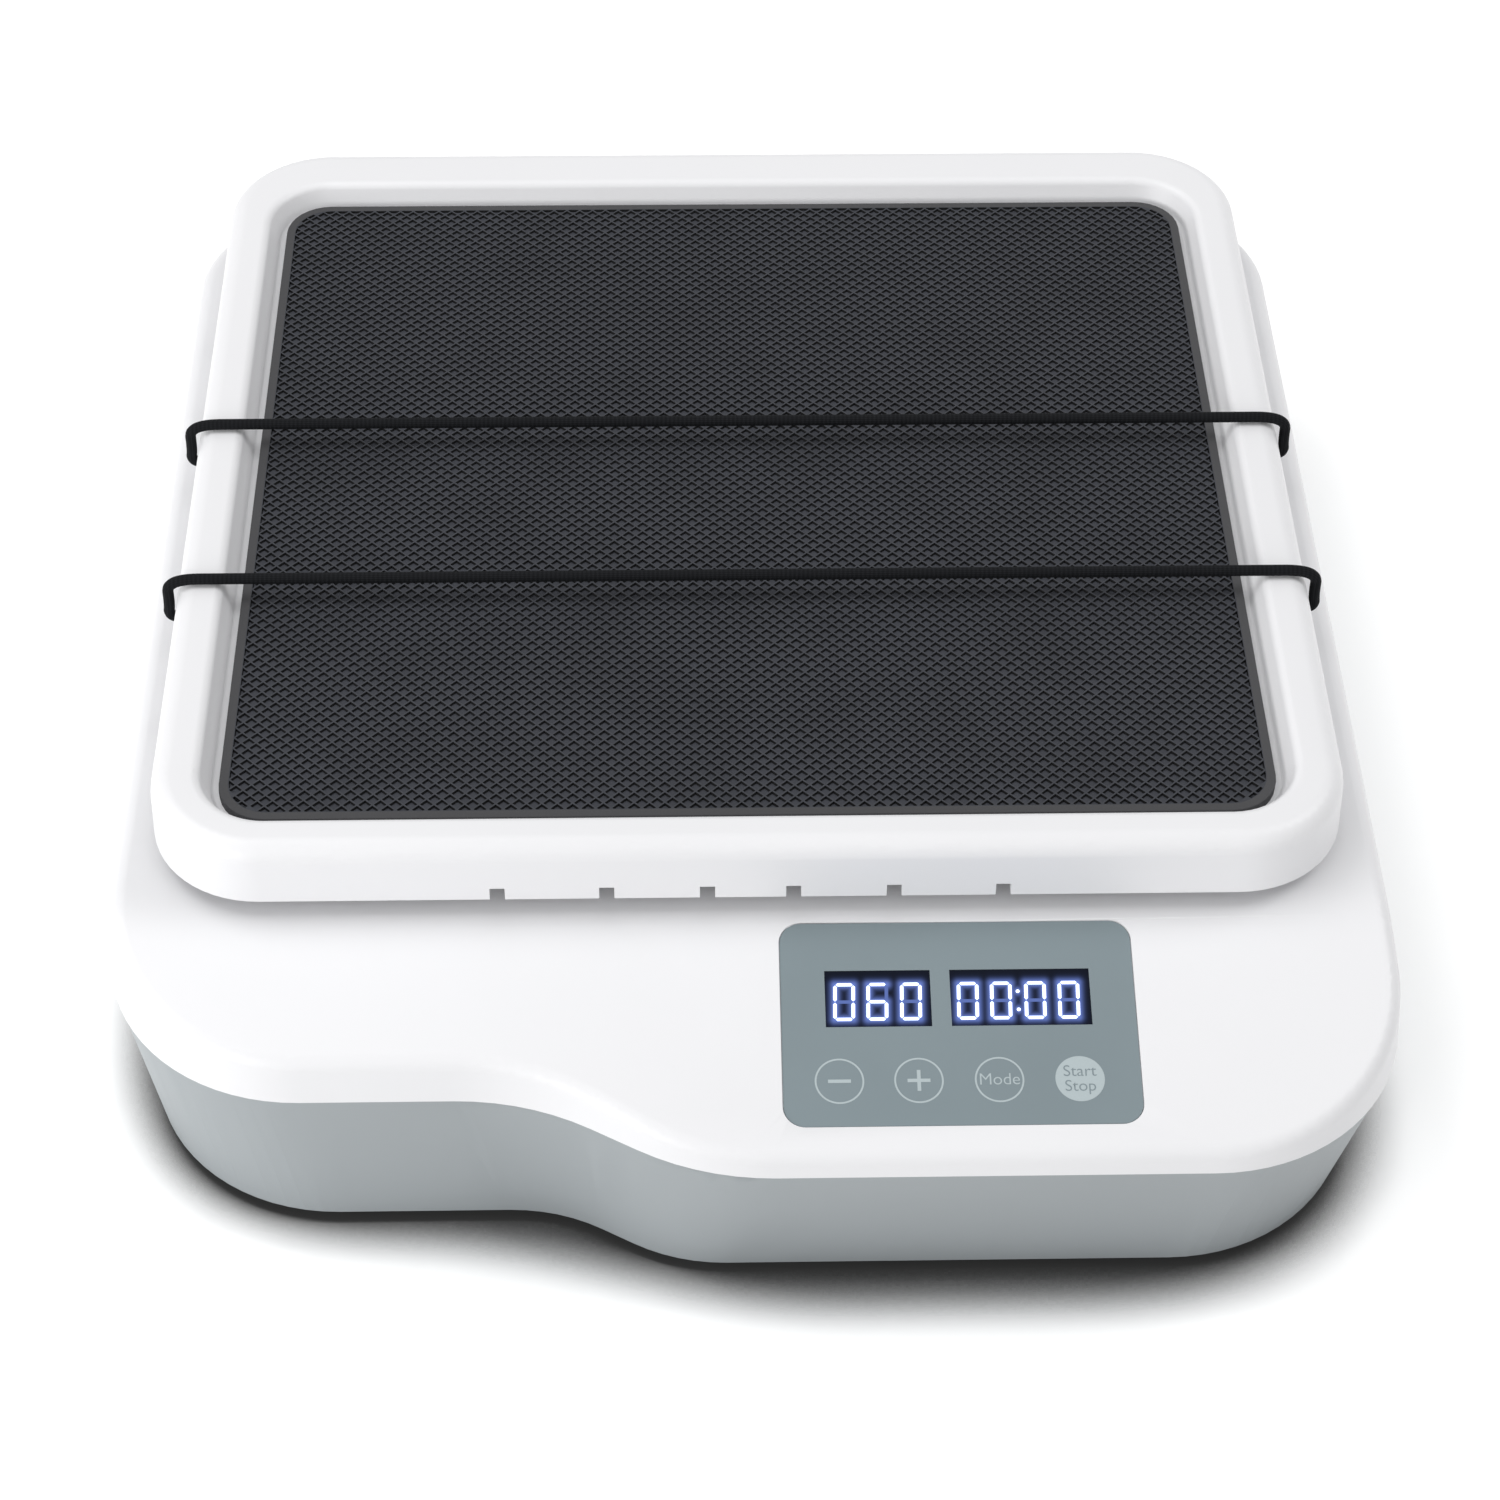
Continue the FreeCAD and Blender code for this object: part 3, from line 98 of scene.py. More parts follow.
class Wire:
    def __init__(self, shader, socket):
        self.shader = shader
        self.socket = socket

    def math(self, operation, *others):
        return self.shader.node("Math", {"operation": operation}, dict(enumerate((self, *others))))

    def __add__(self, other):
        return self.math("ADD", other)

    __radd__ = __add__

    def __sub__(self, other):
        return self.math("SUBTRACT", other)

    def __mul__(self, other):
        return self.math("MULTIPLY", other)

    def __truediv__(self, other):
        return self.math("DIVIDE", other)

    def sine(self):
        return self.math("SINE")

    def between(self, low, high):  # 0 below low, 1 above high, eased
        inputs = {"Value": self, "From Min": low, "From Max": high}
        return self.shader.node("MapRange", {"interpolation_type": "SMOOTHSTEP"}, inputs)


class Shader:  # of a new material, or of a world
    def __init__(self, name, world=None):
        self.owner = world or bpy.data.materials.new(name)
        self.owner.use_nodes = True
        self.tree = self.owner.node_tree
        self.tree.nodes.clear()
        self.end = self.tree.nodes.new("ShaderNodeOutputWorld" if world else "ShaderNodeOutputMaterial")

    def node(self, kind, settings=None, inputs=None, output=0):
        made = self.tree.nodes.new("ShaderNode" + kind)
        for key, value in (settings or {}).items():
            setattr(made, key, value)
        for key, value in (inputs or {}).items():
            if isinstance(value, Wire):
                self.tree.links.new(value.socket, made.inputs[key])
            else:
                made.inputs[key].default_value = value
        return Wire(self, made.outputs[output])

    def place(self):  # metres on the object
        return self.node("TexCoord", output="Object")

    def part(self, vector, axis):
        return self.node("SeparateXYZ", None, {0: vector}, axis)

    def layer(self, name):  # a number kept on the mesh
        return self.node("Attribute", {"attribute_name": name}, None, "Fac")

    def noise(self, scale, detail=2.0, rough=0.5):
        inputs = {"Vector": self.place(), "Scale": scale, "Detail": detail, "Roughness": rough}
        return self.node("TexNoise", None, inputs)

    def mix(self, factor, first, second):  # of two colours
        inputs = {0: factor, 6: first, 7: second}
        return self.node("Mix", {"data_type": "RGBA"}, inputs, 2)

    def bump(self, height, strength, distance):
        inputs = {"Height": height, "Strength": strength, "Distance": distance}
        return self.node("Bump", None, inputs)

    def surface(self, **inputs):
        named = {key.replace("_", " "): value for key, value in inputs.items()}
        return self.finish(self.node("BsdfPrincipled", None, named))

    def finish(self, wire):
        self.tree.links.new(wire.socket, self.end.inputs[0])
        return self.owner


def rgb(*screen):  # screen colour 0 to 255 to a linear one
    linear = [c / 255 / 12.92 if c <= 10 else ((c / 255 + 0.055) / 1.055) ** 2.4 for c in screen]
    return (*linear, 1.0)


def grey(level):
    return (level, level, level, 1.0)


def shade(colour, factor):
    return (*[c * factor for c in colour[:3]], 1.0)


# Finishes

plasticFinish = {
    "white_casing": {"colour": rgb(242, 242, 244), "rough": 0.30, "grain": 0.05, "mottle": 0.985},
    "grey_casing": {"colour": rgb(161, 167, 170), "rough": 0.38, "grain": 0.10, "mottle": 0.97},
}
plasticSkin = {
    "cloudSpread": 0.08,  # how much the roughness varies
    "grainSpread": 0.06,
    "orangePeel": 0.6,  # of the grain's height
    "ior": 1.49,
}


def mouldedPlastic(name, values):
    made = Shader(name)
    cloud = made.noise(scale=7.0, detail=3.0)
    fine = made.noise(scale=2600.0, rough=0.6)
    orange = made.noise(scale=420.0)
    cloudy = cloud.between(low=0.35, high=0.65)
    colour = made.mix(cloudy, shade(values["colour"], values["mottle"]), values["colour"])
    rough = values["rough"] + cloud * plasticSkin["cloudSpread"] + fine * plasticSkin["grainSpread"]
    relief = fine * values["grain"] + orange * plasticSkin["orangePeel"] * values["grain"]
    skin = made.bump(relief, strength=0.5, distance=0.0001)
    return made.surface(Base_Color=colour, Roughness=rough, Normal=skin, IOR=plasticSkin["ior"])


rubberFinish = {
    # The mat's dark colour for the diamonds' walls is painted shade, and it also tints random dark clouds.
    "mat": {"floor": rgb(65, 67, 74), "wall": rgb(5, 5, 7), "top": rgb(55, 57, 63), "dust": rgb(76, 78, 85),
            "border": rgb(68, 68, 70), "dusty": 0.4, "cloudy": 0.15, "rough": 0.62, "spread": 0.2,
            "polish": 0.12, "gloss": 0.3},
    "foot": {"colour": rgb(42, 42, 43), "worn": 1.3, "rough": 0.7, "spread": 0.15},
    "belt": {"colour": rgb(38, 38, 38), "worn": 1.3, "rough": 0.6, "spread": 0.15},
}


def matRubber(values, topZ, depth):
    made = Shader("black_rubber_mat")
    height = made.part(made.place(), "Z")
    level = ((height - (topZ - depth)) / depth).between(low=0.3, high=0.95)
    speck = made.noise(scale=1500.0, detail=3.0, rough=0.7)
    cloud = made.noise(scale=38.0, detail=3.0, rough=0.6)
    upright = made.part(made.node("NewGeometry", output="True Normal"), "Z")
    flat = upright.between(low=0.3, high=0.9)
    # The diamond floors are painted lighter than the ridge tops: painted light against the shade down in
    # the diamonds.
    colour = made.mix(level, values["floor"], values["top"])
    dusty = made.mix(speck.between(low=0.48, high=0.72) * values["dusty"], colour, values["dust"])
    cloudy = made.mix(cloud.between(low=0.4, high=0.7) * values["cloudy"], dusty, values["wall"])
    # Faces that lean, the diamonds' walls, take that dark colour: painted shade.
    withPaintedWallShade = made.mix(flat, values["wall"], cloudy)
    whole = made.mix(made.layer("border"), withPaintedWallShade, values["border"])
    rough = values["rough"] + speck * values["spread"] - level * values["polish"]
    skin = made.bump(speck, strength=0.35, distance=0.00012)
    return made.surface(Base_Color=whole, Roughness=rough, Normal=skin, Specular_IOR_Level=values["gloss"])


def plainRubber(name, values):
    made = Shader(name)
    grain = made.noise(scale=900.0, detail=3.0, rough=0.6)
    worn = grain.between(low=0.4, high=0.7)
    colour = made.mix(worn, values["colour"], shade(values["colour"], values["worn"]))
    rough = values["rough"] + grain * values["spread"]
    skin = made.bump(grain, strength=0.4, distance=0.0001)
    return made.surface(Base_Color=colour, Roughness=rough, Normal=skin)


blackPlasticFinish = {"colour": rgb(30, 30, 31), "worn": 1.25, "rough": 0.42, "spread": 0.12}


def blackPlastic(values):
    made = Shader("black_plastic")
    grain = made.noise(scale=1900.0, rough=0.6)
    smear = made.noise(scale=60.0, detail=3.0)
    worn = smear.between(low=0.4, high=0.7)
    colour = made.mix(worn, values["colour"], shade(values["colour"], values["worn"]))
    rough = values["rough"] + smear * values["spread"]
    skin = made.bump(grain, strength=0.3, distance=0.00008)
    return made.surface(Base_Color=colour, Roughness=rough, Normal=skin)


cordFinish = {
    "colour": rgb(14, 15, 17),
    "light": rgb(36, 37, 40),
    "threads": 0.5,  # how much of the light colour the threads take
    "specks": 0.2,
    "rough": 0.7,
    "spread": 0.2,
    "gloss": 0.1,
    "strands": 16,
    "wave": 0.0026,  # metres along the cord for one wave of a strand
}


def braidedElastic(values):
    made = Shader("elastic_cord")
    along = made.part(made.place(), "X")
    around = made.part(made.node("TexCoord", output="UV"), "Y") * values["strands"] * math.tau
    pitch = along * (math.tau / values["wave"])
    weave = (around * 0.5 + pitch).sine() * (around * 0.5 - pitch).sine()
    thread = weave.between(low=-0.6, high=0.8)
    speck = made.noise(scale=2200.0, rough=0.7)
    paleness = thread * values["threads"] + speck * values["specks"]
    colour = made.mix(paleness, values["colour"], values["light"])
    rough = values["rough"] + speck * values["spread"]
    skin = made.bump(thread + speck * 0.5, strength=0.5, distance=0.00012)
    return made.surface(Base_Color=colour, Roughness=rough, Normal=skin, Specular_IOR_Level=values["gloss"])


panelFinish = {"colour": rgb(134, 147, 152), "mottle": 0.96, "rough": 0.3, "spread": 0.08, "gloss": 0.2}
inkFinish = {"light": rgb(184, 196, 199), "mottle": 0.95, "cover": 0.5, "rough": 0.34, "spread": 0.1}


def panelFilm(values):
    made = Shader("panel_overlay")
    cloud = made.noise(scale=22.0, detail=3.0)
    pebble = made.noise(scale=1400.0)
    cloudy = cloud.between(low=0.35, high=0.7)
    colour = made.mix(cloudy, values["colour"], shade(values["colour"], values["mottle"]))
    rough = values["rough"] + cloud * values["spread"]
    skin = made.bump(pebble, strength=0.12, distance=0.00005)
    return made.surface(Base_Color=colour, Roughness=rough, Normal=skin, Specular_IOR_Level=values["gloss"])


def printedInk(name, colour, values):
    made = Shader(name)
    grain = made.noise(scale=1800.0, rough=0.6)
    cover = grain.between(low=0.4, high=0.75) * values["cover"]
    mixed = made.mix(cover, colour, shade(colour, values["mottle"]))
    rough = values["rough"] + grain * values["spread"]
    return made.surface(Base_Color=mixed, Roughness=rough, Specular_IOR_Level=panelFinish["gloss"])


displayFinish = {
    "glass": rgb(9, 12, 18),
    "rough": 0.07,
    "spread": 0.05,
    "gloss": 0.06,
    "glow": (0.24, 0.36, 1.0, 1.0),
    "glowStrength": 0.75,
    "lit": (0.86, 0.92, 1.0, 1.0),
    "litRough": 0.2,
    "litStrength": 2.6,
    "unlit": rgb(22, 27, 31),
}


def displayGlass(name, values, colour):
    made = Shader(name)
    smear = made.noise(scale=90.0)
    glow = made.mix(made.layer("halo"), grey(0.0), values["glow"])
    rough = values["rough"] + smear * values["spread"]
    return made.surface(Base_Color=colour, Roughness=rough, Specular_IOR_Level=values["gloss"],
                        Emission_Color=glow, Emission_Strength=values["glowStrength"])


def litSegment(values):
    made = Shader("lit_segment")
    colour = made.mix(made.layer("core"), values["glow"], values["lit"])
    return made.surface(Base_Color=values["glass"], Roughness=values["litRough"],
                        Specular_IOR_Level=values["gloss"],
                        Emission_Color=colour, Emission_Strength=values["litStrength"])


metalFinish = {
    "fastener_steel": {"colour": rgb(190, 190, 194), "rough": 0.32, "scale": 700.0},
    "plated_steel": {"colour": rgb(178, 181, 184), "rough": 0.36, "scale": 260.0},
    "machined_aluminium": {"colour": rgb(205, 207, 209), "rough": 0.34, "scale": 1200.0},
    "ground_steel": {"colour": rgb(200, 200, 202), "rough": 0.16, "scale": 2400.0},
}
metalSkin = {"patch": 0.88, "spread": 0.12}


def metal(name, values):
    made = Shader(name)
    grain = made.noise(values["scale"], detail=3.0, rough=0.6)
    patch = made.noise(scale=40.0)
    patchy = patch.between(low=0.3, high=0.7)
    colour = made.mix(patchy, values["colour"], shade(values["colour"], metalSkin["patch"]))
    rough = values["rough"] + grain * metalSkin["spread"]
    skin = made.bump(grain, strength=0.25, distance=0.00006)
    return made.surface(Base_Color=colour, Metallic=1.0, Roughness=rough, Normal=skin)


boardFinish = {"board": rgb(30, 110, 62), "track": rgb(16, 78, 44), "rough": 0.35, "scale": 260.0}


def circuitBoard(values):
    made = Shader("circuit_board")
    cells = made.node("TexVoronoi", {"feature": "DISTANCE_TO_EDGE"},
                      {"Vector": made.place(), "Scale": values["scale"]})
    track = cells.between(low=0.03, high=0.07)
    colour = made.mix(track, values["board"], values["track"])
    skin = made.bump(track, strength=0.3, distance=0.00005)
    return made.surface(Base_Color=colour, Roughness=values["rough"], Normal=skin)


acetalFinish = {"light": rgb(238, 237, 230), "dark": rgb(228, 227, 219), "rough": 0.35, "spread": 0.1}


def acetal(values):
    made = Shader("acetal")
    swirl = made.noise(scale=500.0, detail=3.0, rough=0.6)
    colour = made.mix(swirl.between(low=0.3, high=0.7), values["light"], values["dark"])
    rough = values["rough"] + swirl * values["spread"]
    skin = made.bump(swirl, strength=0.2, distance=0.00005)
    return made.surface(Base_Color=colour, Roughness=rough, Normal=skin)


finishes = {name: mouldedPlastic(name, values) for name, values in plasticFinish.items()}
finishes.update({name: metal(name, values) for name, values in metalFinish.items()})
finishes["foot_rubber"] = plainRubber("foot_rubber", rubberFinish["foot"])
finishes["belt_rubber"] = plainRubber("belt_rubber", rubberFinish["belt"])
finishes["black_plastic"] = blackPlastic(blackPlasticFinish)
finishes["elastic_cord"] = braidedElastic(cordFinish)
finishes["panel_overlay"] = panelFilm(panelFinish)
finishes["display_lens"] = displayGlass("display_glass", displayFinish, displayFinish["glass"])
finishes["circuit_board"] = circuitBoard(boardFinish)
finishes["acetal"] = acetal(acetalFinish)
print("finishes:", len(finishes))


# The construction's own nodes take the finish of their slot; the mat gets its own with its relief

slotOf = {part["node"]: part["material_slot"] for part in frame["record"]["subparts"]}
for name, node in frame["nodes"].items():
    material = finishes.get(slotOf[name])
    if material:
        node.data.materials.clear()
        node.data.materials.append(material)
print("nodes dressed:", len(frame["nodes"]))


# Small helpers for new pieces

meshValues = {
    "weld": 1e-6,
    "nodeWeld": 2e-6,  # in the construction's own nodes
    "cut": 1e-7,
    "sharp": 24,  # an edge stays sharp from this angle on, in degrees
}


def addPiece(name, mesh, body, materials):
    piece = bpy.data.objects.new(name, mesh)
    bpy.context.scene.collection.objects.link(piece)
    for material in materials:
        mesh.materials.append(material)
    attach(piece, body)
    return piece


def meshOf(bm, name):
    mesh = bpy.data.meshes.new(name)
    bm.to_mesh(mesh)
    bm.free()
    return mesh


def weldedMesh(bm, name):
    bmesh.ops.remove_doubles(bm, verts=bm.verts, dist=meshValues["weld"])
    bmesh.ops.recalc_face_normals(bm, faces=bm.faces)
    return meshOf(bm, name)


def takeFan(bm, vert, left):  # takes faces round a corner out of the set, as far as smooth edges join them
    fan = set()
    reach = [left.pop()]
    while reach:
        index = reach.pop()
        fan.add(index)
        for edge in bm.faces[index].edges:
            if vert in edge.verts and edge.smooth:
                onward = [f.index for f in edge.link_faces if f.index in left]
                left.difference_update(onward)
                reach.extend(onward)
    return fan


def weightNormals(mesh):  # large faces stay flat beside narrow curved ones
    bm = bmesh.new()
    bm.from_mesh(mesh)
    bm.faces.ensure_lookup_table()
    normals = [None] * len(mesh.loops)
    areas = [f.calc_area() for f in bm.faces]
    for vert in bm.verts:
        sharp = [e for e in vert.link_edges if not e.smooth]
        left = set(f.index for f in vert.link_faces)
        while left:
            fan = takeFan(bm, vert, left)
            edged = [i for i in fan if any(e in sharp for e in bm.faces[i].edges)]
            used = edged if len(edged) == 2 else fan  # beside a sharp edge its own two faces tell the most
            normal = sum((bm.faces[i].normal * areas[i] for i in used), Vector())
            for i in fan:
                for loop in bm.faces[i].loops:
                    if loop.vert is vert:
                        normals[loop.index] = normal.normalized()
    bm.free()
    mesh.normals_split_custom_set(normals)


def smoothCopy(nodeName, slot):
    node = frame["nodes"][nodeName]
    bm = bmesh.new()
    bm.from_mesh(node.data)
    bmesh.ops.remove_doubles(bm, verts=bm.verts, dist=meshValues["nodeWeld"])
    mesh = meshOf(bm, nodeName + "_skin")
    mesh.materials.clear()
    mesh.shade_smooth()
    mesh.set_sharp_from_angle(angle=math.radians(meshValues["sharp"]))
    weightNormals(mesh)
    piece = addPiece(nodeName + "_skin", mesh, node["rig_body"], [finishes[slot]])
    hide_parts(nodeName)


def roundedPlate(width, depth, radius, segments):  # one flat face about the origin
    bm = bmesh.new()
    bmesh.ops.create_grid(bm, x_segments=1, y_segments=1, size=0.5)
    bmesh.ops.scale(bm, vec=(width, depth, 1), verts=bm.verts)
    bmesh.ops.bevel(bm, geom=list(bm.verts), offset=radius, offset_type="OFFSET", affect="VERTICES",
                    segments=segments, profile=0.5, material=-1)
    return bm


def dropWalls(bm, edges, depth):  # side walls straight down from these edges
    walls = bmesh.ops.extrude_edge_only(bm, edges=edges)["geom"]
    foot = [v for v in walls if isinstance(v, bmesh.types.BMVert)]
    bmesh.ops.translate(bm, vec=(0, 0, -depth), verts=foot)


# Casing and tray: the same solids, with smooth curves

for nodeName, slot in (("top_cover", "white_casing"), ("tray", "white_casing"),
                       ("lower_housing", "grey_casing")):
    smoothCopy(nodeName, slot)
print("casing and tray smoothed")


# Rubber mat: crossing ridges round sunk diamonds, inside a flat border

matValues = {
    "across": 0.00427,  # a diamond's width
    "deep": 0.0041,  # a diamond's depth, front to back
    "spare": 4,  # more cells than the mat needs, before it is cut out of them
    "border": 0.0026,
    "ridge": 0.00024,  # half the flat top of a ridge
    "flank": 0.00020,  # how far a ridge's side leans out
    "sink": 0.00075,  # from the ridge tops to the floor of a diamond
    "corner": 0.014,
    "edge": 0.0004,
    "sliver": 3.0e-6,  # a cut diamond smaller than this stays flat
}


def clipTo(bm, corners):  # keeps what lies inside them
    centre = sum(corners, Vector()) / len(corners)
    for i, corner in enumerate(corners):
        along = (corners[(i + 1) % len(corners)] - corner).normalized()
        out = along.cross(Vector((0, 0, 1)))
        if out.dot(corner - centre) < 0:
            out = -out
        geom = list(bm.verts) + list(bm.edges) + list(bm.faces)
        bmesh.ops.bisect_plane(bm, geom=geom, dist=meshValues["cut"], plane_co=corner, plane_no=out,
                               clear_outer=True)


def diamondSheet(size, values):  # sunk diamonds, out to the flat border
    border = values["border"]
    inner = roundedPlate(size.x - 2 * border, size.y - 2 * border, values["corner"] - border, segments=6)
    corners = [v.co.copy() for v in inner.faces[:][0].verts]
    inner.free()
    cells = math.ceil(size.x / values["across"]) + math.ceil(size.y / values["deep"]) + values["spare"]
    bm = bmesh.new()
    bm.faces.layers.float.new("border")
    bmesh.ops.create_grid(bm, x_segments=cells, y_segments=cells, size=cells / 2)
    bmesh.ops.rotate(bm, verts=bm.verts, cent=(0, 0, 0), matrix=Matrix.Rotation(math.pi / 4, 3, "Z"))
    diagonal = math.sqrt(2)
    bmesh.ops.scale(bm, vec=(values["across"] / diagonal, values["deep"] / diagonal, 1), verts=bm.verts)
    clipTo(bm, corners)
    whole = [f for f in bm.faces if f.calc_area() >= values["sliver"]]
    print("mat:", len(whole), "diamonds,", len(bm.faces) - len(whole), "slivers left flat")
    bmesh.ops.inset_individual(bm, faces=whole, thickness=values["ridge"], depth=0, use_even_offset=True)
    bmesh.ops.inset_individual(bm, faces=whole, thickness=values["flank"], depth=-values["sink"],
                               use_even_offset=True)
    return bm


def addBorder(bm, size, values):  # fills in between the diamonds and the mat's outline
    rim = [e for e in bm.edges if e.is_boundary]
    plate = meshOf(roundedPlate(size.x, size.y, values["corner"], segments=8), "outline")
    bm.from_mesh(plate)
    bpy.data.meshes.remove(plate)
    sheet = max(bm.faces, key=lambda face: len(face.verts))
    outer = list(sheet.edges)
    bmesh.ops.delete(bm, geom=[sheet], context="FACES_ONLY")
    filled = bmesh.ops.triangle_fill(bm, use_beauty=True, use_dissolve=False, edges=rim + outer,
                                     normal=(0, 0, 1))["geom"]
    border = bm.faces.layers.float["border"]
    for face in filled:
        if isinstance(face, bmesh.types.BMFace):
            face[border] = 1.0


def makeMat(values):
    low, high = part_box("rubber_mat")
    size = high - low
    middle = (low + high) / 2
    bm = diamondSheet(size, values)
    addBorder(bm, size, values)
    edge = [e for e in bm.edges if e.is_boundary]
    dropWalls(bm, edge, size.z)
    bmesh.ops.bevel(bm, geom=edge, offset=values["edge"], offset_type="OFFSET", affect="EDGES",
                    segments=2, profile=0.5, material=-1)
    bmesh.ops.translate(bm, vec=(middle.x, middle.y, high.z), verts=bm.verts)
    return weldedMesh(bm, "rubber_mat_ribbed"), high.z


matMesh, matTop = makeMat(matValues)
matFinish = matRubber(rubberFinish["mat"], matTop, matValues["sink"])
ribbedMat = addPiece("rubber_mat_ribbed", matMesh, "platform", [matFinish])
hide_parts("rubber_mat")


# Elastic cords: the route is the construction's own, from notch to notch over the side lips

cordValues = {
    "diameter": 0.0033,
    "length": 0.3717,
    "rearY": 0.0500,
    "frontY": -0.0200,
    "half": [  # x and z of the left half, from the notch up and over the lip
        (-0.16377, 0.09255),
        (-0.16760, 0.09255),
        (-0.17020, 0.09430),
        (-0.16950, 0.09810),
        (-0.16945, 0.10795),
        (-0.14965, 0.10795),
    ],
}


def makeCord(name, node, y, values):
    left = [(x, y, z) for x, z in values["half"]]
    right = [(-x, y, z) for x, z in reversed(values["half"])]
    points = left + right
    data = bpy.data.curves.new(name, "CURVE")
    data.dimensions = "3D"
    spline = data.splines.new("NURBS")
    spline.points.add(len(points) - 1)
    for point, place in zip(spline.points, points):
        point.co = (*place, 1.0)
    spline.order_u = 3
    spline.use_endpoint_u = True
    spline.resolution_u = 12
    data.bevel_depth = values["diameter"] / 2
    data.bevel_resolution = 5
    data.use_fill_caps = True
    data.materials.append(finishes["elastic_cord"])
    piece = bpy.data.objects.new(name, data)
    bpy.context.scene.collection.objects.link(piece)
    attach(piece, "platform")
    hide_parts(node)


makeCord("hold_down_cord_rear", "elastic_cord_rear", cordValues["rearY"], cordValues)
makeCord("hold_down_cord_front", "elastic_cord_front", cordValues["frontY"], cordValues)
print("cords: 2 of", cordValues["length"], "m")


# Control panel: everything is placed on the film by its own across and up-slope measure

panelValues = {
    "slope": math.radians(14),
    "film": 0.0009,
    "lift": 0.00003,  # ink over the film
    "keyX": (0.0231, 0.0446, 0.0664, 0.0882),
    "keyUp": -0.0173,
    "keyRadius": 0.0067,
    "ring": 0.0005,
    "barLength": 0.0062,
    "barWidth": 0.0010,
    "textSize": 0.0049,
    "smallTextSize": 0.0047,
    "textThin": 0.006,  # of the size, taken off the strokes
    "lineStep": 0.0044,
}


def panelPlace():  # from flat panel measures, x across and y up-slope, to the model
    low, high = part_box("control_panel")
    slope = panelValues["slope"]
    middle = (low + high) / 2
    middle += Vector((0, -math.sin(slope), math.cos(slope))) * (panelValues["film"] / 2)
    shift = Matrix.Translation((0, middle.y, middle.z))
    return shift @ Matrix.Rotation(slope, 4, "X")


onPanel = panelPlace()


def ringMesh(bm, x, up, outer, inner):
    for radius in (outer, inner):
        made = bmesh.ops.create_circle(bm, segments=72, radius=radius)
        bmesh.ops.translate(bm, vec=(x, up, 0), verts=made["verts"])
    edges = [e for e in bm.edges if e.is_wire]
    bmesh.ops.bridge_loops(bm, edges=edges)


def discMesh(bm, x, up, radius):
    made = bmesh.ops.create_circle(bm, segments=72, radius=radius, cap_ends=True)
    bmesh.ops.translate(bm, vec=(x, up, 0), verts=made["verts"])


def barMesh(bm, x, up, width, height):
    made = bmesh.ops.create_grid(bm, x_segments=1, y_segments=1, size=0.5)
    bmesh.ops.scale(bm, vec=(width, height, 1), verts=made["verts"])
    bmesh.ops.translate(bm, vec=(x, up, 0), verts=made["verts"])


def inkPiece(name, bm, material, lift):
    bmesh.ops.translate(bm, vec=(0, 0, lift), verts=bm.verts)
    bmesh.ops.transform(bm, matrix=onPanel, verts=bm.verts)
    addPiece(name, meshOf(bm, name), "base", [material])


def wordMesh(bm, words, x, up, size):
    data = bpy.data.curves.new("words", "FONT")
    data.body = words
    data.size = size
    data.offset = -panelValues["textThin"] * size
    data.align_x = "CENTER"
    data.align_y = "CENTER"
    helper = bpy.data.objects.new("words", data)
    bpy.context.scene.collection.objects.link(helper)
    bpy.context.view_layer.update()
    shaped = helper.evaluated_get(bpy.context.evaluated_depsgraph_get())
    mesh = bpy.data.meshes.new_from_object(shaped)
    mesh.transform(Matrix.Translation((x, up, 0)))
    bm.from_mesh(mesh)
    bpy.data.meshes.remove(mesh)
    bpy.data.objects.remove(helper)
    bpy.data.curves.remove(data)


def makeKeys(values):
    lightInk = printedInk("light_ink", inkFinish["light"], inkFinish)
    darkInk = printedInk("dark_ink", panelFinish["colour"], inkFinish)
    keys = bmesh.new()
    minus, plus, mode, start = values["keyX"]
    up = values["keyUp"]
    for x in (minus, plus, mode):
        ringMesh(keys, x, up, values["keyRadius"], values["keyRadius"] - values["ring"])
    barMesh(keys, minus, up, values["barLength"], values["barWidth"])
    barMesh(keys, plus, up, values["barLength"], values["barWidth"])
    arm = (values["barLength"] - values["barWidth"]) / 2
    for way in (-1, 1):
        barMesh(keys, plus, up + way * (values["barWidth"] + arm) / 2, values["barWidth"], arm)
    discMesh(keys, start, up, values["keyRadius"])
    wordMesh(keys, "Mode", mode, up, values["textSize"])
    inkPiece("key_marks", keys, lightInk, values["lift"])
    words = bmesh.new()
    wordMesh(words, "Start", start, up + values["lineStep"] / 2, values["smallTextSize"])
    wordMesh(words, "Stop", start, up - values["lineStep"] / 2, values["smallTextSize"])
    inkPiece("start_stop_words", words, darkInk, 2 * values["lift"])


makeKeys(panelValues)
print("key marks printed")


# Displays: a dark glass with a soft halo in it, and flat seven-segment figures just over it

digitValues = {
    "height": 0.0115,
    "width": 0.0060,
    "bar": 0.00100,
    "gap": 0.00034,
    "slant": 0.03,
    "up": 0.0064,
    "halo": 0.0013,
    "haloNear": 0.75,
    "haloFar": 0.04,
    "haloSpread": 3,  # how much wider the faint part of the halo is
    "bright": 1.0,  # in the middle of a bar
    "edge": 0.35,
    "colonStep": 0.24,  # of the height, from the middle to a dot
    "colonRadius": 0.52,  # of a bar's width
    "colonBright": 0.8,
    "dot": 1e-5,
    "windowHeight": 0.0168,
    "windowThick": 0.002,
    "lift": 0.00004,
    "cell": 0.0004,
}
segmentsOf = {"0": "abcdef", "6": "acdefg"}
displays = {
    "display_window_speed": {"figures": ("0", "6", "0"), "places": (0.0251, 0.0342, 0.0434), "colon": None},
    "display_window_time": {"figures": ("0", "0", "0", "0"), "places": (0.0590, 0.0681, 0.0775, 0.0867),
                            "colon": 0.0728},
}


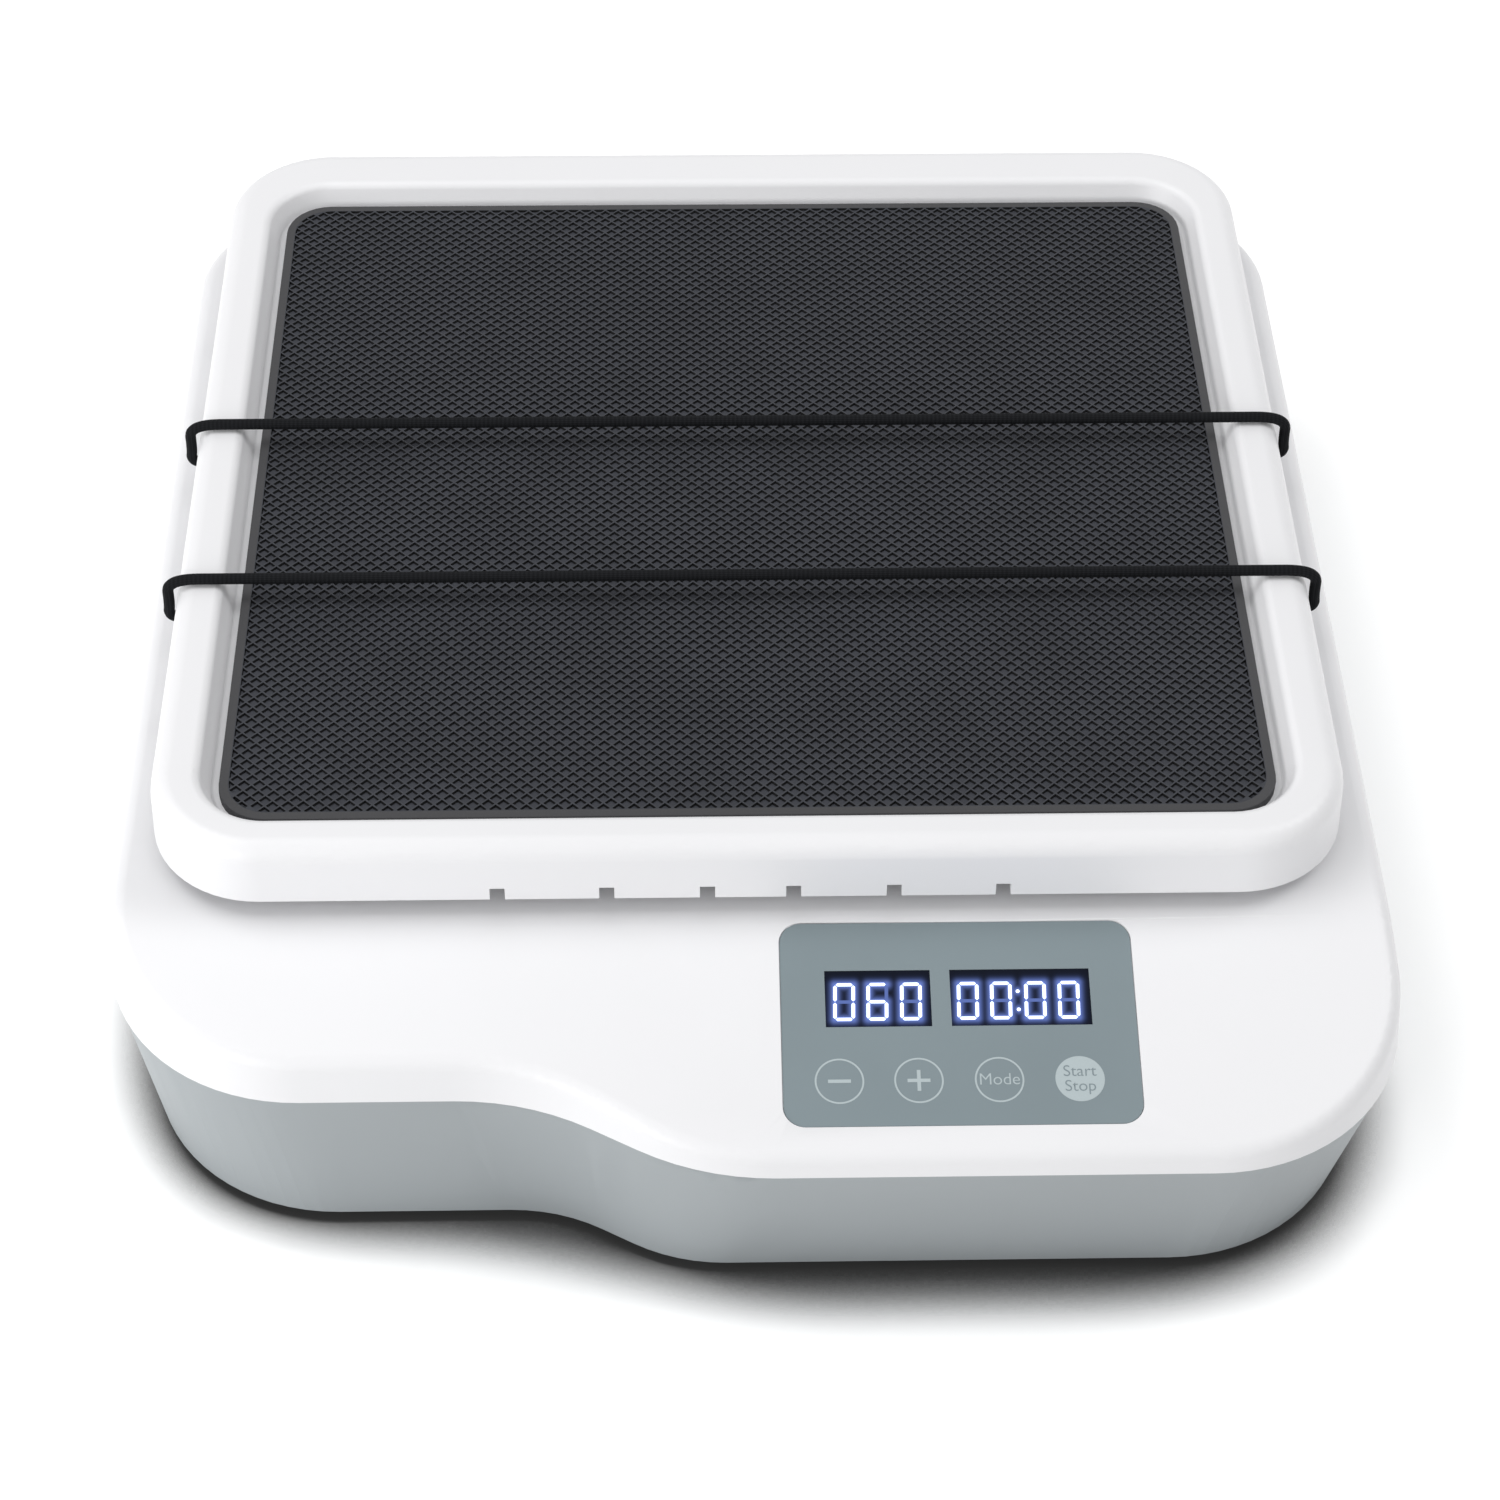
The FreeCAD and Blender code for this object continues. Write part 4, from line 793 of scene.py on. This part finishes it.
def barEnds(values):  # the middle lines of the seven bars about a figure's centre
    w = (values["width"] - values["bar"]) / 2
    h = (values["height"] - values["bar"]) / 2
    return {
        "a": ((-w, h), (w, h)), "g": ((-w, 0), (w, 0)), "d": ((-w, -h), (w, -h)),
        "f": ((-w, h), (-w, 0)), "b": ((w, h), (w, 0)),
        "e": ((-w, 0), (-w, -h)), "c": ((w, 0), (w, -h)),
    }


def addBar(bm, start, end, values, core):  # a flat bar with pointed ends and a bright middle
    start = Vector((*start, 0))
    end = Vector((*end, 0))
    along = (end - start).normalized()
    side = Vector((-along.y, along.x, 0))
    half = values["bar"] / 2
    start += along * (values["gap"] / 2)
    end -= along * (values["gap"] / 2)
    middles = [start, start + along * half, end - along * half, end]
    spine = [bm.verts.new(p) for p in middles]
    for way in (-1, 1):
        edge = [bm.verts.new(p + side * (way * half)) for p in middles[1:3]]
        for corners in ((spine[0], spine[1], edge[0]), (spine[1], spine[2], edge[1], edge[0]),
                        (spine[2], spine[3], edge[1])):
            bm.faces.new(corners)
        for vert in edge:
            vert[core] = values["edge"]
    for vert, share in zip(spine, ("edge", "bright", "bright", "edge")):
        vert[core] = values[share]


def haloAt(point, lines, values):
    near = min(distanceTo(point, *ends) for ends in lines) / values["halo"]
    faint = math.exp(-near / values["haloSpread"]) * values["haloFar"]
    return math.exp(-near ** 2) * values["haloNear"] + faint


def distanceTo(point, start, end):
    start = Vector(start)
    along = Vector(end) - start
    share = max(0.0, min(1.0, (point - start).dot(along) / along.length_squared))
    return (point - start - along * share).length


def drawFigures(facts, values):  # bars lit and dark, and the middle lines of those lit
    lines = []
    marks = bmesh.new()
    core = marks.verts.layers.float.new("core")
    dim = bmesh.new()
    dimHalo = dim.verts.layers.float.new("halo")
    for figure, x in zip(facts["figures"], facts["places"]):
        for name, (start, end) in barEnds(values).items():
            ends = [(x + px + py * values["slant"], values["up"] + py) for px, py in (start, end)]
            if name in segmentsOf[figure]:
                addBar(marks, *ends, values, core)
                lines.append(ends)
            else:
                addBar(dim, *ends, values, dimHalo)
    if facts["colon"]:
        for way in (-1, 1):
            up = values["up"] + way * values["height"] * values["colonStep"]
            radius = values["bar"] * values["colonRadius"]
            made = bmesh.ops.create_circle(marks, segments=20, radius=radius, cap_ends=True)
            bmesh.ops.translate(marks, vec=(facts["colon"], up, 0), verts=made["verts"])
            for vert in made["verts"]:
                vert[core] = values["colonBright"]
            lines.append([(facts["colon"], up - values["dot"]), (facts["colon"], up + values["dot"])])
    for vert in dim.verts:
        vert[dimHalo] = haloAt(vert.co.xy, lines, values)
    return marks, dim, lines


def glassBlock(node, lines, values):  # as large as the window's solid, with the halo kept on its top
    low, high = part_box(node)
    width = high.x - low.x
    height = values["windowHeight"]
    up = (onPanel.inverted() @ ((low + high) / 2)).y
    bm = bmesh.new()
    columns = round(width / values["cell"])
    rows = round(height / values["cell"])
    bmesh.ops.create_grid(bm, x_segments=columns, y_segments=rows, size=0.5)
    bmesh.ops.scale(bm, vec=(width, height, 1), verts=bm.verts)
    bmesh.ops.translate(bm, vec=((low.x + high.x) / 2, up, 0), verts=bm.verts)
    halo = bm.verts.layers.float.new("halo")
    for vert in bm.verts:
        vert[halo] = haloAt(vert.co.xy, lines, values)
    dropWalls(bm, [e for e in bm.edges if e.is_boundary], values["windowThick"])
    bmesh.ops.contextual_create(bm, geom=[e for e in bm.edges if e.is_boundary])
    bmesh.ops.transform(bm, matrix=onPanel, verts=bm.verts)
    return weldedMesh(bm, node + "_glass")


def makeDisplay(node, facts, values, lit, unlit):
    marks, dim, lines = drawFigures(facts, values)
    glass = glassBlock(node, lines, values)
    piece = addPiece(node + "_glass", glass, "base", [finishes["display_lens"]])
    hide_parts(node)
    inkPiece(node + "_figures", marks, lit, values["lift"])
    inkPiece(node + "_dark_bars", dim, unlit, values["lift"])


lit = litSegment(displayFinish)
unlit = displayGlass("unlit_segment", displayFinish, displayFinish["unlit"])
for node, facts in displays.items():
    makeDisplay(node, facts, digitValues, lit, unlit)
print("displays lit")


# Floor, world and lamps

studio = {
    "world": 0.5,
    "floorColour": 0.86,
    "floorSeen": 1.45,  # its colour to the camera, a mirror or a glass
    "floorReach": 1.2,  # beyond this the lamps no longer keep it white
    "paintedShadowReach": 0.045,  # how far the painted shadow darkens the floor beside the object
    "paintedShadowRange": (0.45, 0.77),  # of the open sky over the floor, from full painted shadow to plain
    "paintedShadowDarkest": 0.08,
    "paintedShadowSamples": 32,
    "aim": (0, 0, 0.05),  # of every lamp
    "lamps": {
        "leftOverhead": {"place": (-0.8, 0.2, 1.6), "size": (0.9, 0.9), "power": 7.5},
        "rightOverhead": {"place": (1.15, 0.2, 1.5), "size": (0.9, 0.9), "power": 7.6},
        "front": {"place": (-1.3, -1.1, 0.5), "size": (1.4, 0.8), "power": 14.3},
    },
}


def seenPlainly(made):  # 1 for what the camera, a mirror or a glass sees directly
    rays = [made.node("LightPath", output=name) for name in
            ("Is Camera Ray", "Is Glossy Ray", "Is Transmission Ray")]
    return (rays[0] + rays[1] + rays[2]).math("MINIMUM", 1.0)


def makeFloor(values):
    bm = bmesh.new()
    bmesh.ops.create_circle(bm, cap_ends=True, segments=96, radius=values["floorReach"])
    made = Shader("floor")
    sky = made.node("AmbientOcclusion", {"samples": values["paintedShadowSamples"]},
                    {"Distance": values["paintedShadowReach"]}, "AO")
    pale = made.mix(seenPlainly(made), grey(values["floorColour"]), grey(values["floorSeen"]))
    # The floor's colour is darkened where little open sky is over it: a painted shadow beside the object.
    colour = made.mix(sky.between(*values["paintedShadowRange"]), grey(values["paintedShadowDarkest"]), pale)
    mesh = meshOf(bm, "floor")
    mesh.materials.append(made.finish(made.node("BsdfDiffuse", None, {"Color": colour})))
    floor = bpy.data.objects.new("floor", mesh)
    bpy.context.scene.collection.objects.link(floor)


def makeWorld(values):
    bpy.context.scene.world = bpy.data.worlds.new("studio")
    made = Shader("studio", bpy.context.scene.world)
    strength = seenPlainly(made) * (1.0 - values["world"]) + values["world"]
    made.finish(made.node("Background", None, {"Color": grey(1.0), "Strength": strength}))


def makeLamp(name, values, aim):
    data = bpy.data.lights.new(name, "AREA")
    data.shape = "RECTANGLE"
    data.size, data.size_y = values["size"]
    data.energy = values["power"]
    lamp = bpy.data.objects.new(name, data)
    lamp.location = values["place"]
    way = Vector(aim) - Vector(values["place"])
    lamp.rotation_euler = way.to_track_quat("-Z", "Y").to_euler()
    bpy.context.scene.collection.objects.link(lamp)


makeFloor(studio)
makeWorld(studio)
for name, values in studio["lamps"].items():
    makeLamp(name, values, studio["aim"])
print("studio lit")
